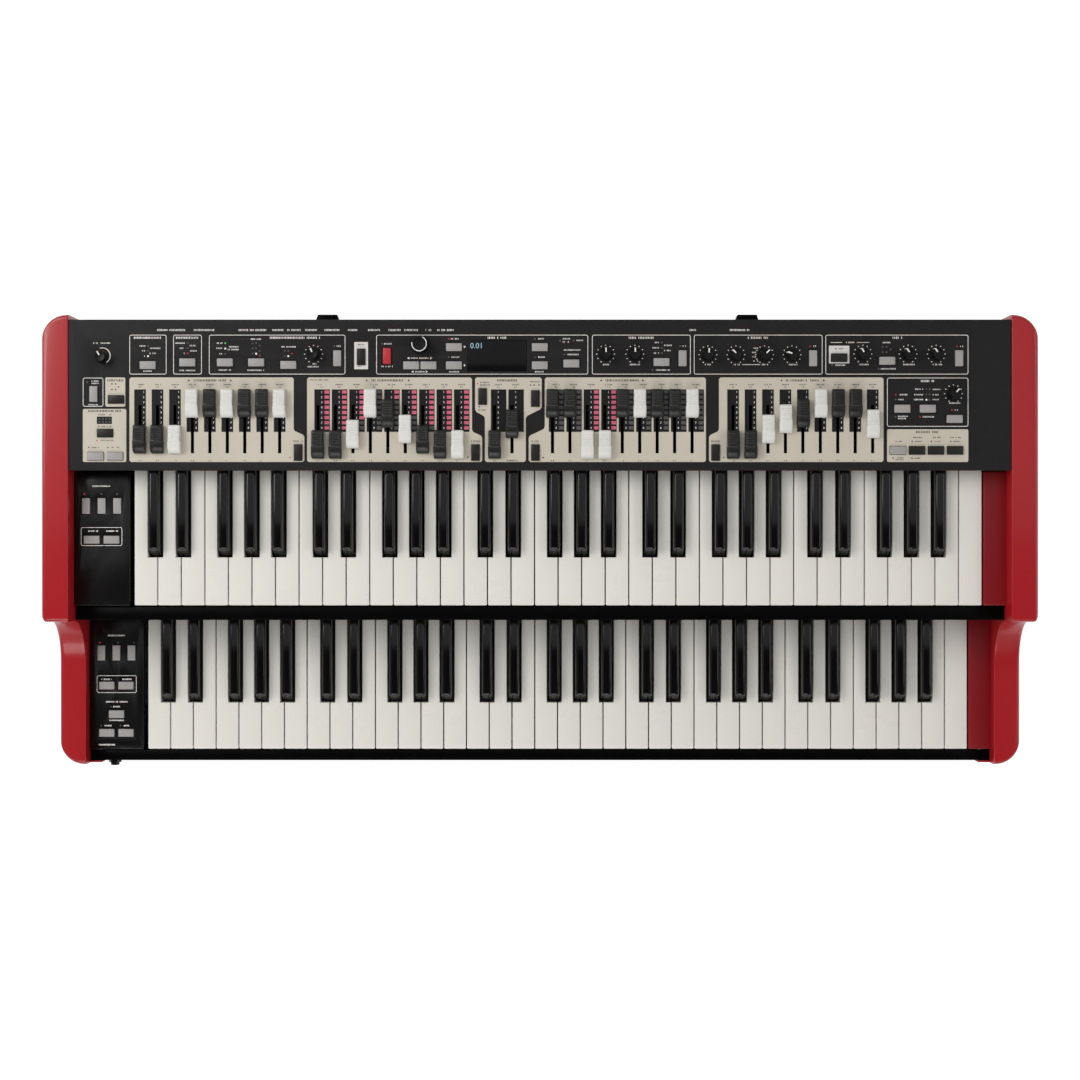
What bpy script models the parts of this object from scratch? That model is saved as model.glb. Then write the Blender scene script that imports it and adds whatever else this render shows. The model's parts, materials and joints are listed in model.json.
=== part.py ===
"""A two-manual combo organ: keys, drawbars, knobs and buttons between two lacquered cheeks.

Metres, +Z up, +X to the player's right, +Y to the rear. The origin lies on the ground under
the middle of the whole object.
"""

import math

import bmesh
import bpy
from mathutils import Matrix

for leftover in list(bpy.data.objects):
    bpy.data.objects.remove(leftover)

# Keyboards: five octaves and the top C on each manual.
OCTAVES = 5
NATURALS_IN_OCTAVE = 7
NATURAL_PITCH = 0.0235
NATURAL_GAP = 0.0012
NATURAL_BODY_H = 0.0120
NATURAL_LIP_H = 0.0200
NATURAL_LIP_T = 0.0060
NATURAL_HEAD_L = 0.0480
SHARP_CUT_W = 0.0154
SHARP_BASE_W = 0.0130
SHARP_TOP_W = 0.0094
SHARP_OVER_NATURAL = 0.0105
SHARP_SLOPE = 0.0070
SHARP_FRONT_GAP = 0.0005
SHARP_BLOCK_L = 0.0926
# Each sharp stands to the right of a natural, a little off the line between the two.
SHARP_OFFSETS = {0: -0.0022, 1: 0.0022, 3: -0.0034, 4: 0.0, 5: 0.0034}
PIVOT_BACK = 0.1900
PIVOT_TAIL = 0.0040
KEY_DIP_ANGLE = math.radians(3.0)
# Keys that are hinged one by one: the naturals and sharps from middle C on the upper manual.
SINGLE_NATURALS = {14: "upper_key_c4", 15: "upper_key_d4"}
SINGLE_SHARPS = {14: "upper_key_c_sharp4", 15: "upper_key_d_sharp4"}

# How the keys of a set are joined behind the pivot, and what carries them.
LIP_INSET = 0.0004
STEM_OVERLAP = 0.0020
COMB_BAR_W = 0.0060
NATURAL_STEM_W = 0.0080
NATURAL_BAR_H = 0.0045
NATURAL_BAR_BACK = 0.0060
SHARP_TAIL_W = 0.0090
SHARP_STEM_W = 0.0070
SHARP_BAR_BACK = 0.0140
BAR_GAP = 0.0012
LEDGE_W = 0.0040
STOP_BACK = 0.0200
STOP_W = 0.0100
BED_SETBACK = 0.0050
BED_BEHIND_PIVOT = 0.0270

# Widths across the case, from the left cheek to the right one.
CHEEK_T = 0.0262
LEFT_BLOCK_W = 0.0560
LEFT_BLOCK_GAP = 0.0047
RIGHT_BLOCK_GAP = 0.0017
END_BLOCK_W = 0.0228

# Depths, from the front to the rear.
COLLAR_OUT = 0.0052
RAIL_SETBACK = 0.0023
RAIL_DEPTH = 0.0111
KEY_FRONT_GAP = 0.0008
LOWER_KEYS_SHOW = 0.1357
STRIP_DEPTH = 0.0139
UPPER_KEYS_SHOW = 0.1340
PANEL_DEPTH = 0.1487
PANEL_SETBACK = 0.0050
BUMPER_OUT = 0.0016

# Heights.
FOOT_H = 0.0060
LOWER_KEY_TOP_Z = 0.0620
MANUAL_STEP = 0.0650
PANEL_OVER_KEYS = 0.0220
CHEEK_PROUD = 0.0015
LOWER_CHEEK_OVER_KEYS = 0.0159
RAIL_UNDER_KEYS = 0.0040
STRIP_UNDER_KEYS = 0.0060
UPPER_BED_DROP = 0.0430
LOWER_BED_DROP = 0.0420

# Sheet, clearances and edges.
SHEET_T = 0.0020
CLEAR = 0.0003
HOLE_CLEAR = 0.0004
FOLD_OVER_SHARPS = 0.0020
REAR_FOLD_H = 0.0120
CHEEK_CORNER_R = 0.0240
COVE_R = 0.0480
UPPER_CHEEK_AHEAD = 0.0009
CUT_MARGIN = 0.0010
CHEEK_LIP_W = 0.0120
ARC_STEPS = 8

# Drawbars. Distances across run from the left end of the control panel, and distances back
# run from its rear edge towards the player.
DRAWBAR_PITCH = 0.0172
DRAWBAR_STEP = 0.00506
DRAWBAR_STEPS = 8
SLOT_W = 0.0029
STEM_W = 0.0022
STEM_L = 0.0060
HANDLE_W = 0.0127
HANDLE_L = 0.0279
HANDLE_REAR_BACK = 0.0689
HANDLE_LIFT = 0.0005
HANDLE_TAPER = 0.80
HANDLE_REAR_H = 0.0075
HANDLE_CREST_H = 0.0090
HANDLE_CREST_L = 0.0155
HANDLE_FRONT_H = 0.0038
STEM_FROM_HANDLE_REAR = 0.0188
SLIDER_W = 0.0120
SLIDER_L = 0.0180
SLIDER_H = 0.0040
LINK_W = 0.0060
LINK_H = 0.0025
LOW_LINK_DROP = 0.0057
WHITE_DRAWBARS = (3, 4, 6, 9)
# Section name, place of its first bar, and the step at which each bar is drawn.
DRAWBAR_SECTIONS = (
    ("upper_a", 0.0708, (7, 7, 7, 0, 0, 0, 0, 0, 0)),
    ("upper_b", 0.2462, (8, 8, 6, 0, 2, 5, 7, 8, 8)),
    ("bass", 0.4202, (8, 4)),
    ("lower_a", 0.4773, (0, 0, 8, 8, 0, 0, 0, 0, 0)),
    ("lower_b", 0.6553, (8, 8, 5, 3, 2, 0, 0, 0, 4)),
)

# Knobs: name, place across and back. All but the dial share one size.
KNOB_D = 0.0128
KNOB_H = 0.0110
KNOB_TOP_D = 0.0112
KNOB_SHAFT_D = 0.0060
KNOB_LIFT = 0.0004
DIAL_D = 0.0184
DIAL_H = 0.0146
KNOB_STEPS = 12
SHAFT_BELOW = 0.0040
DIAL = ("program_dial", 0.3467, 0.0252)
KNOBS = (
    ("master_level_knob", 0.0335, 0.0370),
    ("drive_knob", 0.2418, 0.0342),
    ("modulation_rate_knob", 0.5297, 0.0342),
    ("modulation_amount_knob", 0.5584, 0.0342),
    ("bass_tone_knob", 0.6305, 0.0348),
    ("mid_gain_knob", 0.6581, 0.0348),
    ("mid_frequency_knob", 0.6863, 0.0348),
    ("treble_tone_knob", 0.7134, 0.0348),
    ("delay_tempo_knob", 0.7832, 0.0341),
    ("delay_feedback_knob", 0.8278, 0.0341),
    ("delay_amount_knob", 0.8556, 0.0341),
    ("reverb_amount_knob", 0.8725, 0.0732),
)

# Buttons.
CAP_L = 0.0157
CAP_W = 0.0079
CAP_PROUD = 0.0020
CARRIER_T = 0.0015
CARRIER_DROP = 0.0050
CARRIER_EDGE = 0.0020
BRANCH_EDGE = 0.0010
# Caps that lie along the panel, and caps that point to the player: places across and back.
PANEL_CAPS_ALONG = (
    (0.0785, 0.0451), (0.1175, 0.0424), (0.1545, 0.0424), (0.1853, 0.0424),
    (0.2171, 0.0449), (0.3381, 0.0453), (0.3551, 0.0453), (0.3802, 0.0274),
    (0.3802, 0.0453), (0.4648, 0.0274), (0.4648, 0.0453), (0.4959, 0.0435),
    (0.5847, 0.0421), (0.7598, 0.0377), (0.8071, 0.0408),
)
PANEL_CAPS_ACROSS = (
    (0.2652, 0.0383), (0.2887, 0.0369), (0.3142, 0.0360), (0.6055, 0.0383),
    (0.7341, 0.0383), (0.8780, 0.0383),
)
LEFT_CAPS_ALONG = ((0.0471, 0.0788), (0.0363, 0.1120), (0.0271, 0.1348), (0.0462, 0.1348))
LEFT_CAPS_ACROSS = ((0.0250, 0.0735),)
RIGHT_CAPS_ALONG = (
    (0.8220, 0.0880), (0.8471, 0.0880), (0.8736, 0.0981), (0.8177, 0.1290),
    (0.8366, 0.1290), (0.8553, 0.1290), (0.8741, 0.1290),
)
# Selector switches between the drawbar sections, one group for each branch of the carrier.
SWITCH_GROUPS = (
    ((0.2266, 0.1312),),
    ((0.4014, 0.1312), (0.4084, 0.0759)),
    ((0.4605, 0.1312), (0.4604, 0.0779)),
    ((0.6381, 0.1312),),
)
# Preset caps: places across from the left cheek and back from the block's front edge.
PRESET_CAPS_ACROSS = ((0.0125, 0.0993), (0.0280, 0.0993), (0.0435, 0.0993))
PRESET_PAIR_ALONG = ((0.0180, 0.0656), (0.0378, 0.0656))
ROTOR_CAPS_ALONG = ((0.0280, 0.0360), (0.0180, 0.0168), (0.0378, 0.0168))
LOWER_SKIRT_H = 0.0160

# Display window: width, depth, and the places of its left and rear edges.
WINDOW_W = 0.0581
WINDOW_L = 0.0306
WINDOW_ACROSS = 0.3936
WINDOW_BACK = 0.0203
WINDOW_SINK = 0.0004

# Rear connectors: places across, all at one height.
CONNECTOR_Z = 0.1090
JACK_PLACES = (0.1335, 0.1821, 0.2060, 0.2230, 0.2391, 0.2593, 0.3214, 0.3376, 0.3719)
DIN_PLACES = (0.2804, 0.3011)
MULTI_PLACE = 0.1013
USB_PLACE = 0.3549
INLET_PLACE = 0.6156
ROCKER_PLACE = 0.6616
JACK_BODY = (0.0140, 0.0220, 0.0140)
JACK_BUSH_D = 0.0090
JACK_BORE_D = 0.0066
JACK_BORE_L = 0.0200
DIN_BODY = (0.0190, 0.0160, 0.0190)
DIN_BUSH_D = 0.0160
DIN_BORE_D = 0.0134
DIN_BORE_L = 0.0090
MULTI_BODY = (0.0300, 0.0160, 0.0300)
MULTI_BUSH_D = 0.0270
MULTI_BORE_D = 0.0230
MULTI_BORE_L = 0.0100
USB_BODY = (0.0122, 0.0160, 0.0110)
USB_BORE = (0.0090, 0.0080)
USB_BORE_L = 0.0100
BUSH_PROUD = 0.0015
BOARD_T = 0.0016
BOARD_L = 0.0540
BOARD_EDGE = 0.0060
ROUND_STEPS = 12
INLET_FLANGE = (0.0340, 0.0270)
INLET_FLANGE_T = 0.0015
INLET_BODY = (0.0276, 0.0200)
INLET_BODY_L = 0.0200
INLET_BORE = (0.0244, 0.0166)
INLET_BORE_L = 0.0160
ROCKER_W = 0.0130
ROCKER_H = 0.0170
ROCKER_PROUD = 0.0040
ROCKER_DISH = 0.0014
ROCKER_BACK = 0.0040
ROCKER_TILT = math.radians(7.0)

# Bumpers on the rear panel: places across, and their shape.
BUMPER_PLACES = (0.2537, 0.6709)
BUMPER_ROOT_W = 0.0240
BUMPER_TIP_W = 0.0190
BUMPER_Z = (0.1205, 0.1340)

# Headphone socket at the front left, and the four feet.
HEADPHONE_PLACE = 0.0204
HEADPHONE_Z = 0.0350
HEADPHONE_NUT_D = 0.0134
HEADPHONE_NUT_T = 0.0042
FOOT_D = 0.0320
FOOT_STEPS = 20
FOOT_INSET_X = 0.0350
FOOT_INSET_REAR = 0.0310
FOOT_INSET_FRONT = 0.0320

# Derived places across.
NATURALS = OCTAVES * NATURALS_IN_OCTAVE + 1
KEYS_W = NATURALS * NATURAL_PITCH - NATURAL_GAP
INNER_W = LEFT_BLOCK_W + LEFT_BLOCK_GAP + KEYS_W + RIGHT_BLOCK_GAP + END_BLOCK_W
INNER_X = INNER_W / 2
SHEET_X = INNER_X - CLEAR
OUTER_X = INNER_X + CHEEK_T
LEFT_BLOCK_X = LEFT_BLOCK_W - INNER_X
KEYS_X = LEFT_BLOCK_X + LEFT_BLOCK_GAP
END_BLOCK_X = INNER_X - END_BLOCK_W

# Derived depths.
DEPTH = (
    COLLAR_OUT + RAIL_SETBACK + RAIL_DEPTH + 2 * KEY_FRONT_GAP + LOWER_KEYS_SHOW + STRIP_DEPTH
    + UPPER_KEYS_SHOW + PANEL_DEPTH + PANEL_SETBACK + BUMPER_OUT
)
CHEEK_FRONT_Y = COLLAR_OUT - DEPTH / 2
RAIL_FRONT_Y = CHEEK_FRONT_Y + RAIL_SETBACK
LOWER_FRONT_Y = RAIL_FRONT_Y + RAIL_DEPTH + KEY_FRONT_GAP
STRIP_FRONT_Y = LOWER_FRONT_Y + LOWER_KEYS_SHOW
UPPER_FRONT_Y = STRIP_FRONT_Y + STRIP_DEPTH + KEY_FRONT_GAP
PANEL_FRONT_Y = UPPER_FRONT_Y + UPPER_KEYS_SHOW
PANEL_REAR_Y = PANEL_FRONT_Y + PANEL_DEPTH
CHEEK_REAR_Y = PANEL_REAR_Y + PANEL_SETBACK
UPPER_PIVOT_Y = UPPER_FRONT_Y + PIVOT_BACK
LOWER_PIVOT_Y = LOWER_FRONT_Y + PIVOT_BACK

# Derived heights.
UPPER_KEY_TOP_Z = LOWER_KEY_TOP_Z + MANUAL_STEP
PANEL_TOP_Z = UPPER_KEY_TOP_Z + PANEL_OVER_KEYS
PANEL_UNDER_Z = PANEL_TOP_Z - SHEET_T
CHEEK_TOP_Z = PANEL_TOP_Z + CHEEK_PROUD
LOWER_CHEEK_TOP_Z = LOWER_KEY_TOP_Z + LOWER_CHEEK_OVER_KEYS
TRAY_TOP_Z = FOOT_H + SHEET_T
UPPER_BED_Z = UPPER_KEY_TOP_Z - UPPER_BED_DROP
LOWER_BED_Z = LOWER_KEY_TOP_Z - LOWER_BED_DROP
RAIL_TOP_Z = LOWER_KEY_TOP_Z - RAIL_UNDER_KEYS
STRIP_TOP_Z = UPPER_KEY_TOP_Z - STRIP_UNDER_KEYS
REAR_PANEL_TOP_Z = PANEL_TOP_Z - REAR_FOLD_H - CLEAR

PIECES = bpy.data.collections.new("combo_organ")
TOOLS = bpy.data.collections.new("tools")
bpy.context.scene.collection.children.link(PIECES)
bpy.context.scene.collection.children.link(TOOLS)
TOOLS.hide_render = True


def material(name, colour, roughness, metallic=0.0):
    """Make a Principled material."""
    made = bpy.data.materials.new(name)
    made.use_nodes = True
    shader = made.node_tree.nodes["Principled BSDF"]
    shader.inputs["Base Color"].default_value = (*colour, 1.0)
    shader.inputs["Roughness"].default_value = roughness
    shader.inputs["Metallic"].default_value = metallic
    return made


def add_object(name, mesh):
    """Put a mesh into the scene as a piece."""
    obj = bpy.data.objects.new(name, mesh)
    PIECES.objects.link(obj)
    return obj


def mesh_from(name, shape):
    """Turn a bmesh into an object with its faces pointing out."""
    bmesh.ops.recalc_face_normals(shape, faces=shape.faces)
    mesh = bpy.data.meshes.new(name)
    shape.to_mesh(mesh)
    shape.free()
    return add_object(name, mesh)


def boxes(name, spans):
    """Make one object of separate boxes, each given by its lowest and highest corners."""
    shape = bmesh.new()
    for low, high in spans:
        middle = [(a + b) / 2 for a, b in zip(low, high)]
        size = [b - a for a, b in zip(low, high)]
        place = Matrix.Translation(middle) @ Matrix.Diagonal((*size, 1.0))
        bmesh.ops.create_cube(shape, size=1.0, matrix=place)
    return mesh_from(name, shape)


def rods(name, rods_along_y, steps=ROUND_STEPS):
    """Make one object of separate cylinders along Y, each (x, z, diameter, low y, high y)."""
    shape = bmesh.new()
    for x, z, diameter, low, high in rods_along_y:
        place = Matrix.Translation((x, (low + high) / 2, z)) @ Matrix.Rotation(math.pi / 2, 4, "X")
        radius = diameter / 2
        bmesh.ops.create_cone(
            shape, cap_ends=True, segments=steps, radius1=radius, radius2=radius,
            depth=high - low, matrix=place,
        )
    return mesh_from(name, shape)


def posts(name, posts_along_z, low, high, steps=ROUND_STEPS):
    """Make one object of separate cylinders along Z, each (x, y, diameter)."""
    shape = bmesh.new()
    for x, y, diameter in posts_along_z:
        radius = diameter / 2
        bmesh.ops.create_cone(
            shape, cap_ends=True, segments=steps, radius1=radius, radius2=radius,
            depth=high - low, matrix=Matrix.Translation((x, y, (low + high) / 2)),
        )
    return mesh_from(name, shape)


SIDE_PLANE = Matrix(((0, 0, 1, 0), (1, 0, 0, 0), (0, 1, 0, 0), (0, 0, 0, 1)))
PLAN_PLANE = Matrix.Identity(4)


def prism(name, outlines, plane, low, high):
    """Extrude closed outlines square to their plane, and make the result a mesh."""
    curve = bpy.data.curves.new(name, "CURVE")
    curve.dimensions = "2D"
    curve.fill_mode = "BOTH"
    curve.extrude = (high - low) / 2
    for outline in outlines:
        spline = curve.splines.new("POLY")
        spline.points.add(len(outline) - 1)
        for point, (x, y) in zip(spline.points, outline):
            point.co = (x, y, 0.0, 1.0)
        spline.use_cyclic_u = True
    guide = bpy.data.objects.new(name, curve)
    PIECES.objects.link(guide)
    guide.matrix_world = plane @ Matrix.Translation((0.0, 0.0, (low + high) / 2))
    bpy.context.view_layer.update()
    graph = bpy.context.evaluated_depsgraph_get()
    flat = bpy.data.meshes.new_from_object(guide.evaluated_get(graph))
    flat.transform(guide.matrix_world)
    bpy.data.objects.remove(guide)
    shape = bmesh.new()
    shape.from_mesh(flat)
    bmesh.ops.remove_doubles(shape, verts=shape.verts, dist=0.00001)
    bpy.data.meshes.remove(flat)
    return mesh_from(name, shape)


def turned(name, profile, steps):
    """Turn a profile about +Z. It runs down its outer side."""
    mesh = bpy.data.meshes.new(name)
    edges = [(index, index + 1) for index in range(len(profile) - 1)]
    mesh.from_pydata([(radius, 0.0, height) for radius, height in profile], edges, [])
    obj = add_object(name, mesh)
    screw = obj.modifiers.new("turn", "SCREW")
    screw.steps = steps
    screw.render_steps = steps
    screw.use_merge_vertices = True
    screw.merge_threshold = 0.00001
    bpy.context.view_layer.update()
    graph = bpy.context.evaluated_depsgraph_get()
    solid = bpy.data.meshes.new_from_object(obj.evaluated_get(graph))
    obj.modifiers.clear()
    obj.data = solid
    bpy.data.meshes.remove(mesh)
    solid.shade_smooth()
    solid.set_sharp_from_angle(angle=math.radians(40.0))
    return obj


def apply_tool(piece, tool, operation):
    """Join a tool to a piece, cut it away, or keep only what both fill."""
    boolean = piece.modifiers.new(tool.name, "BOOLEAN")
    boolean.operation = operation
    boolean.solver = "EXACT"
    boolean.object = tool
    PIECES.objects.unlink(tool)
    TOOLS.objects.link(tool)
    tool.hide_render = True
    tool.display_type = "WIRE"


def finish(piece, finish_material, origin=(0.0, 0.0, 0.0)):
    """Give a piece its material and put its origin on its joint's axis."""
    piece.data.materials.clear()
    piece.data.materials.append(finish_material)
    piece.data.transform(Matrix.Translation([-value for value in origin]))
    piece.location = origin
    return piece


def arc(centre, radius, start, end, steps=ARC_STEPS):
    """List points on an arc between two angles in degrees."""
    angles = [math.radians(start + (end - start) * index / steps) for index in range(steps + 1)]
    return [(centre[0] + radius * math.cos(a), centre[1] + radius * math.sin(a)) for a in angles]


def across(distance):
    """World X of a distance from the left end of the control panel."""
    return distance - INNER_X


def back(distance):
    """World Y of a distance from the rear edge of the control panel."""
    return PANEL_REAR_Y - distance


LACQUER = material("red_lacquer", (0.42, 0.035, 0.045), 0.25)
BLACK_STEEL = material("black_steel", (0.030, 0.026, 0.027), 0.45)
BED_STEEL = material("bed_steel", (0.35, 0.36, 0.37), 0.40, 1.0)
BLACK_PLASTIC = material("black_plastic", (0.020, 0.019, 0.019), 0.40)
IVORY = material("ivory_key", (0.70, 0.67, 0.60), 0.30)
EBONY = material("black_key", (0.012, 0.011, 0.011), 0.12)
GREY_CAP = material("grey_cap", (0.33, 0.33, 0.34), 0.50)
DARK_BAR = material("dark_drawbar", (0.022, 0.025, 0.022), 0.45)
WHITE_BAR = material("white_drawbar", (0.75, 0.74, 0.71), 0.40)
WINDOW = material("display_window", (0.010, 0.012, 0.014), 0.08)
BOARD = material("circuit_board", (0.03, 0.12, 0.06), 0.50)
RUBBER = material("rubber", (0.015, 0.015, 0.015), 0.80)


def cheek_solid(name, side):
    """Make the bare cheek: its side profile within its rounded plan. Side is -1 for left."""
    cove = (STRIP_FRONT_Y - UPPER_CHEEK_AHEAD - COVE_R, LOWER_CHEEK_TOP_Z + COVE_R)
    profile = [
        (CHEEK_FRONT_Y, FOOT_H), (CHEEK_REAR_Y, FOOT_H), (CHEEK_REAR_Y, CHEEK_TOP_Z),
        (cove[0] + COVE_R, CHEEK_TOP_Z), *arc(cove, COVE_R, 0.0, -90.0),
        (CHEEK_FRONT_Y, LOWER_CHEEK_TOP_Z),
    ]
    low, high = sorted((side * INNER_X, side * OUTER_X))
    piece = prism(name, [profile], SIDE_PLANE, low, high)
    corner_x = OUTER_X - CHEEK_CORNER_R
    rear = arc((corner_x, CHEEK_REAR_Y - CHEEK_CORNER_R), CHEEK_CORNER_R, 90.0, 0.0)
    front = arc((corner_x, CHEEK_FRONT_Y + CHEEK_CORNER_R), CHEEK_CORNER_R, 0.0, -90.0)
    inner = INNER_X - CUT_MARGIN
    plan = [(inner, CHEEK_FRONT_Y), (inner, CHEEK_REAR_Y), *rear, *front]
    plan = [(side * x, y) for x, y in plan]
    limits = (FOOT_H - CUT_MARGIN, CHEEK_TOP_Z + CUT_MARGIN)
    apply_tool(piece, prism(name + "_plan", [plan], PLAN_PLANE, *limits), "INTERSECT")
    return piece


def front_lip(side):
    """Give the corners of the return that covers the end of the front rail."""
    inner, outer = INNER_X - CHEEK_LIP_W, INNER_X + CUT_MARGIN
    low, high = sorted((side * inner, side * outer))
    front_y = CHEEK_FRONT_Y
    return (low, front_y, FOOT_H), (high, RAIL_FRONT_Y - CLEAR, RAIL_TOP_Z)


def left_cheek():
    """Make the left cheek."""
    piece = cheek_solid("left_cheek", -1)
    apply_tool(piece, boxes("left_cheek_lip", [front_lip(-1)]), "UNION")
    return finish(piece, LACQUER)


def right_cheek():
    """Make the right cheek with the two end blocks that close the keyboards."""
    piece = cheek_solid("right_cheek", 1)
    outer = INNER_X + CUT_MARGIN
    upper_low = (END_BLOCK_X, UPPER_FRONT_Y, UPPER_BED_Z + SHEET_T + CLEAR)
    upper_high = (outer, PANEL_FRONT_Y, UPPER_KEY_TOP_Z)
    lower_low = (END_BLOCK_X, LOWER_FRONT_Y, LOWER_BED_Z + SHEET_T + CLEAR)
    lower_high = (outer, UPPER_FRONT_Y, LOWER_KEY_TOP_Z)
    spans = [front_lip(1), (upper_low, upper_high), (lower_low, lower_high)]
    apply_tool(piece, boxes("right_cheek_blocks", spans), "UNION")
    return finish(piece, LACQUER)


def base_tray():
    """Make the folded bottom tray with the front rail."""
    lip_rear = LOWER_FRONT_Y - KEY_FRONT_GAP
    wall_rear = RAIL_FRONT_Y + SHEET_T
    profile = [
        (RAIL_FRONT_Y, FOOT_H), (PANEL_REAR_Y, FOOT_H), (PANEL_REAR_Y, TRAY_TOP_Z),
        (wall_rear, TRAY_TOP_Z), (wall_rear, RAIL_TOP_Z - SHEET_T),
        (lip_rear, RAIL_TOP_Z - SHEET_T), (lip_rear, RAIL_TOP_Z), (RAIL_FRONT_Y, RAIL_TOP_Z),
    ]
    piece = prism("base_tray", [profile], SIDE_PLANE, -SHEET_X, SHEET_X)
    hole = (across(HEADPHONE_PLACE), HEADPHONE_Z, JACK_BUSH_D + 2 * HOLE_CLEAR)
    limits = (RAIL_FRONT_Y - CUT_MARGIN, wall_rear + CUT_MARGIN)
    apply_tool(piece, rods("headphone_hole", [(*hole, *limits)]), "DIFFERENCE")
    return finish(piece, BLACK_STEEL)


def connector_bushes(extra=0.0, low=0.0, high=0.0):
    """List the round connector bushes as rods through the rear panel."""
    sizes = [(place, JACK_BUSH_D) for place in JACK_PLACES]
    sizes += [(place, DIN_BUSH_D) for place in DIN_PLACES]
    sizes.append((MULTI_PLACE, MULTI_BUSH_D))
    return [(across(place), CONNECTOR_Z, size + extra, low, high) for place, size in sizes]


def block_at(place, width, height, low, high):
    """Give the corners of a block that is centred on a rear connector."""
    x = across(place)
    return (
        (x - width / 2, low, CONNECTOR_Z - height / 2),
        (x + width / 2, high, CONNECTOR_Z + height / 2),
    )


def rear_panel():
    """Make the rear panel with its connector holes and two bumpers."""
    low, high = PANEL_REAR_Y - SHEET_T, PANEL_REAR_Y
    spans = [((-SHEET_X, low, TRAY_TOP_Z + CLEAR), (SHEET_X, high, REAR_PANEL_TOP_Z))]
    piece = boxes("rear_panel", spans)
    outlines = []
    tip_y = CHEEK_REAR_Y + BUMPER_OUT
    for place in BUMPER_PLACES:
        x = across(place)
        root, tip = BUMPER_ROOT_W / 2, BUMPER_TIP_W / 2
        root_y = high - SHEET_T / 2
        outline = [(x - root, root_y), (x + root, root_y), (x + tip, tip_y), (x - tip, tip_y)]
        outlines.append(outline)
    apply_tool(piece, prism("bumpers", outlines, PLAN_PLANE, *BUMPER_Z), "UNION")
    cut_low, cut_high = low - CUT_MARGIN, high + CUT_MARGIN
    bushes = connector_bushes(2 * HOLE_CLEAR, cut_low, cut_high)
    apply_tool(piece, rods("bush_holes", bushes), "DIFFERENCE")
    gap = 2 * HOLE_CLEAR
    spans = [
        block_at(USB_PLACE, USB_BODY[0] + gap, USB_BODY[2] + gap, cut_low, cut_high),
        block_at(INLET_PLACE, INLET_BODY[0] + gap, INLET_BODY[1] + gap, cut_low, cut_high),
        block_at(ROCKER_PLACE, ROCKER_W + gap, 2 * rocker_reach() + gap, cut_low, cut_high),
    ]
    apply_tool(piece, boxes("square_holes", spans), "DIFFERENCE")
    return finish(piece, BLACK_STEEL)


def main_board():
    """Make the connector board: jack bodies on a board, with bushes through the rear panel."""
    face = PANEL_REAR_Y - SHEET_T - CLEAR
    mouth = PANEL_REAR_Y + BUSH_PROUD
    groups = (
        (JACK_PLACES, JACK_BODY), (DIN_PLACES, DIN_BODY), ((MULTI_PLACE,), MULTI_BODY),
    )
    spans = []
    for places, (width, length, height) in groups:
        spans += [block_at(place, width, height, face - length, face) for place in places]
    spans.append(block_at(USB_PLACE, USB_BODY[0], USB_BODY[2], face - USB_BODY[1], mouth))
    board_z = CONNECTOR_Z - USB_BODY[2] / 2
    left = across(MULTI_PLACE) - MULTI_BODY[0] / 2 - BOARD_EDGE
    right = across(max(JACK_PLACES)) + JACK_BODY[0] / 2 + BOARD_EDGE
    board_low = (left, face - BOARD_L, board_z - BOARD_T)
    board_high = (right, face - CLEAR, board_z + CLEAR)
    piece = boxes("main_board", [(board_low, board_high)])
    apply_tool(piece, boxes("connector_bodies", spans), "UNION")
    bushes = connector_bushes(0.0, face - CUT_MARGIN, mouth)
    apply_tool(piece, rods("bushes", bushes), "UNION")
    bores = [(place, JACK_BORE_D, JACK_BORE_L) for place in JACK_PLACES]
    bores += [(place, DIN_BORE_D, DIN_BORE_L) for place in DIN_PLACES]
    bores.append((MULTI_PLACE, MULTI_BORE_D, MULTI_BORE_L))
    cuts = [
        (across(place), CONNECTOR_Z, size, mouth - length, mouth + CUT_MARGIN)
        for place, size, length in bores
    ]
    apply_tool(piece, rods("bores", cuts), "DIFFERENCE")
    port = block_at(USB_PLACE, *USB_BORE, mouth - USB_BORE_L, mouth + CUT_MARGIN)
    apply_tool(piece, boxes("port", [port]), "DIFFERENCE")
    return finish(piece, BOARD)


def power_inlet():
    """Make the mains inlet: a flange on the rear panel and a socket body through it."""
    outer = PANEL_REAR_Y + CLEAR + INLET_FLANGE_T
    flange = block_at(INLET_PLACE, *INLET_FLANGE, PANEL_REAR_Y + CLEAR, outer)
    body = block_at(INLET_PLACE, *INLET_BODY, outer - INLET_BODY_L, outer - CLEAR)
    socket = block_at(INLET_PLACE, *INLET_BORE, outer - INLET_BORE_L, outer + CUT_MARGIN)
    piece = boxes("power_inlet", [flange])
    apply_tool(piece, boxes("inlet_body", [body]), "UNION")
    apply_tool(piece, boxes("inlet_socket", [socket]), "DIFFERENCE")
    return finish(piece, BLACK_PLASTIC)


def rocker_reach():
    """Give the rocker's largest distance from its axis, as it passes through its hole."""
    return math.hypot(ROCKER_H / 2, ROCKER_PROUD)


def power_rocker():
    """Make the power rocker, tilted to one end of its travel about an axis along X."""
    axis = (PANEL_REAR_Y - SHEET_T / 2, CONNECTOR_Z)
    half = ROCKER_H / 2
    shape = [
        (-ROCKER_BACK, -half), (ROCKER_PROUD, -half), (ROCKER_PROUD - ROCKER_DISH, 0.0),
        (ROCKER_PROUD, half), (-ROCKER_BACK, half),
    ]
    cos, sin = math.cos(ROCKER_TILT), math.sin(ROCKER_TILT)
    outline = [(axis[0] + y * cos - z * sin, axis[1] + y * sin + z * cos) for y, z in shape]
    x = across(ROCKER_PLACE)
    piece = prism("power_rocker", [outline], SIDE_PLANE, x - ROCKER_W / 2, x + ROCKER_W / 2)
    return finish(piece, BLACK_PLASTIC, (x, *axis))


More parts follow.
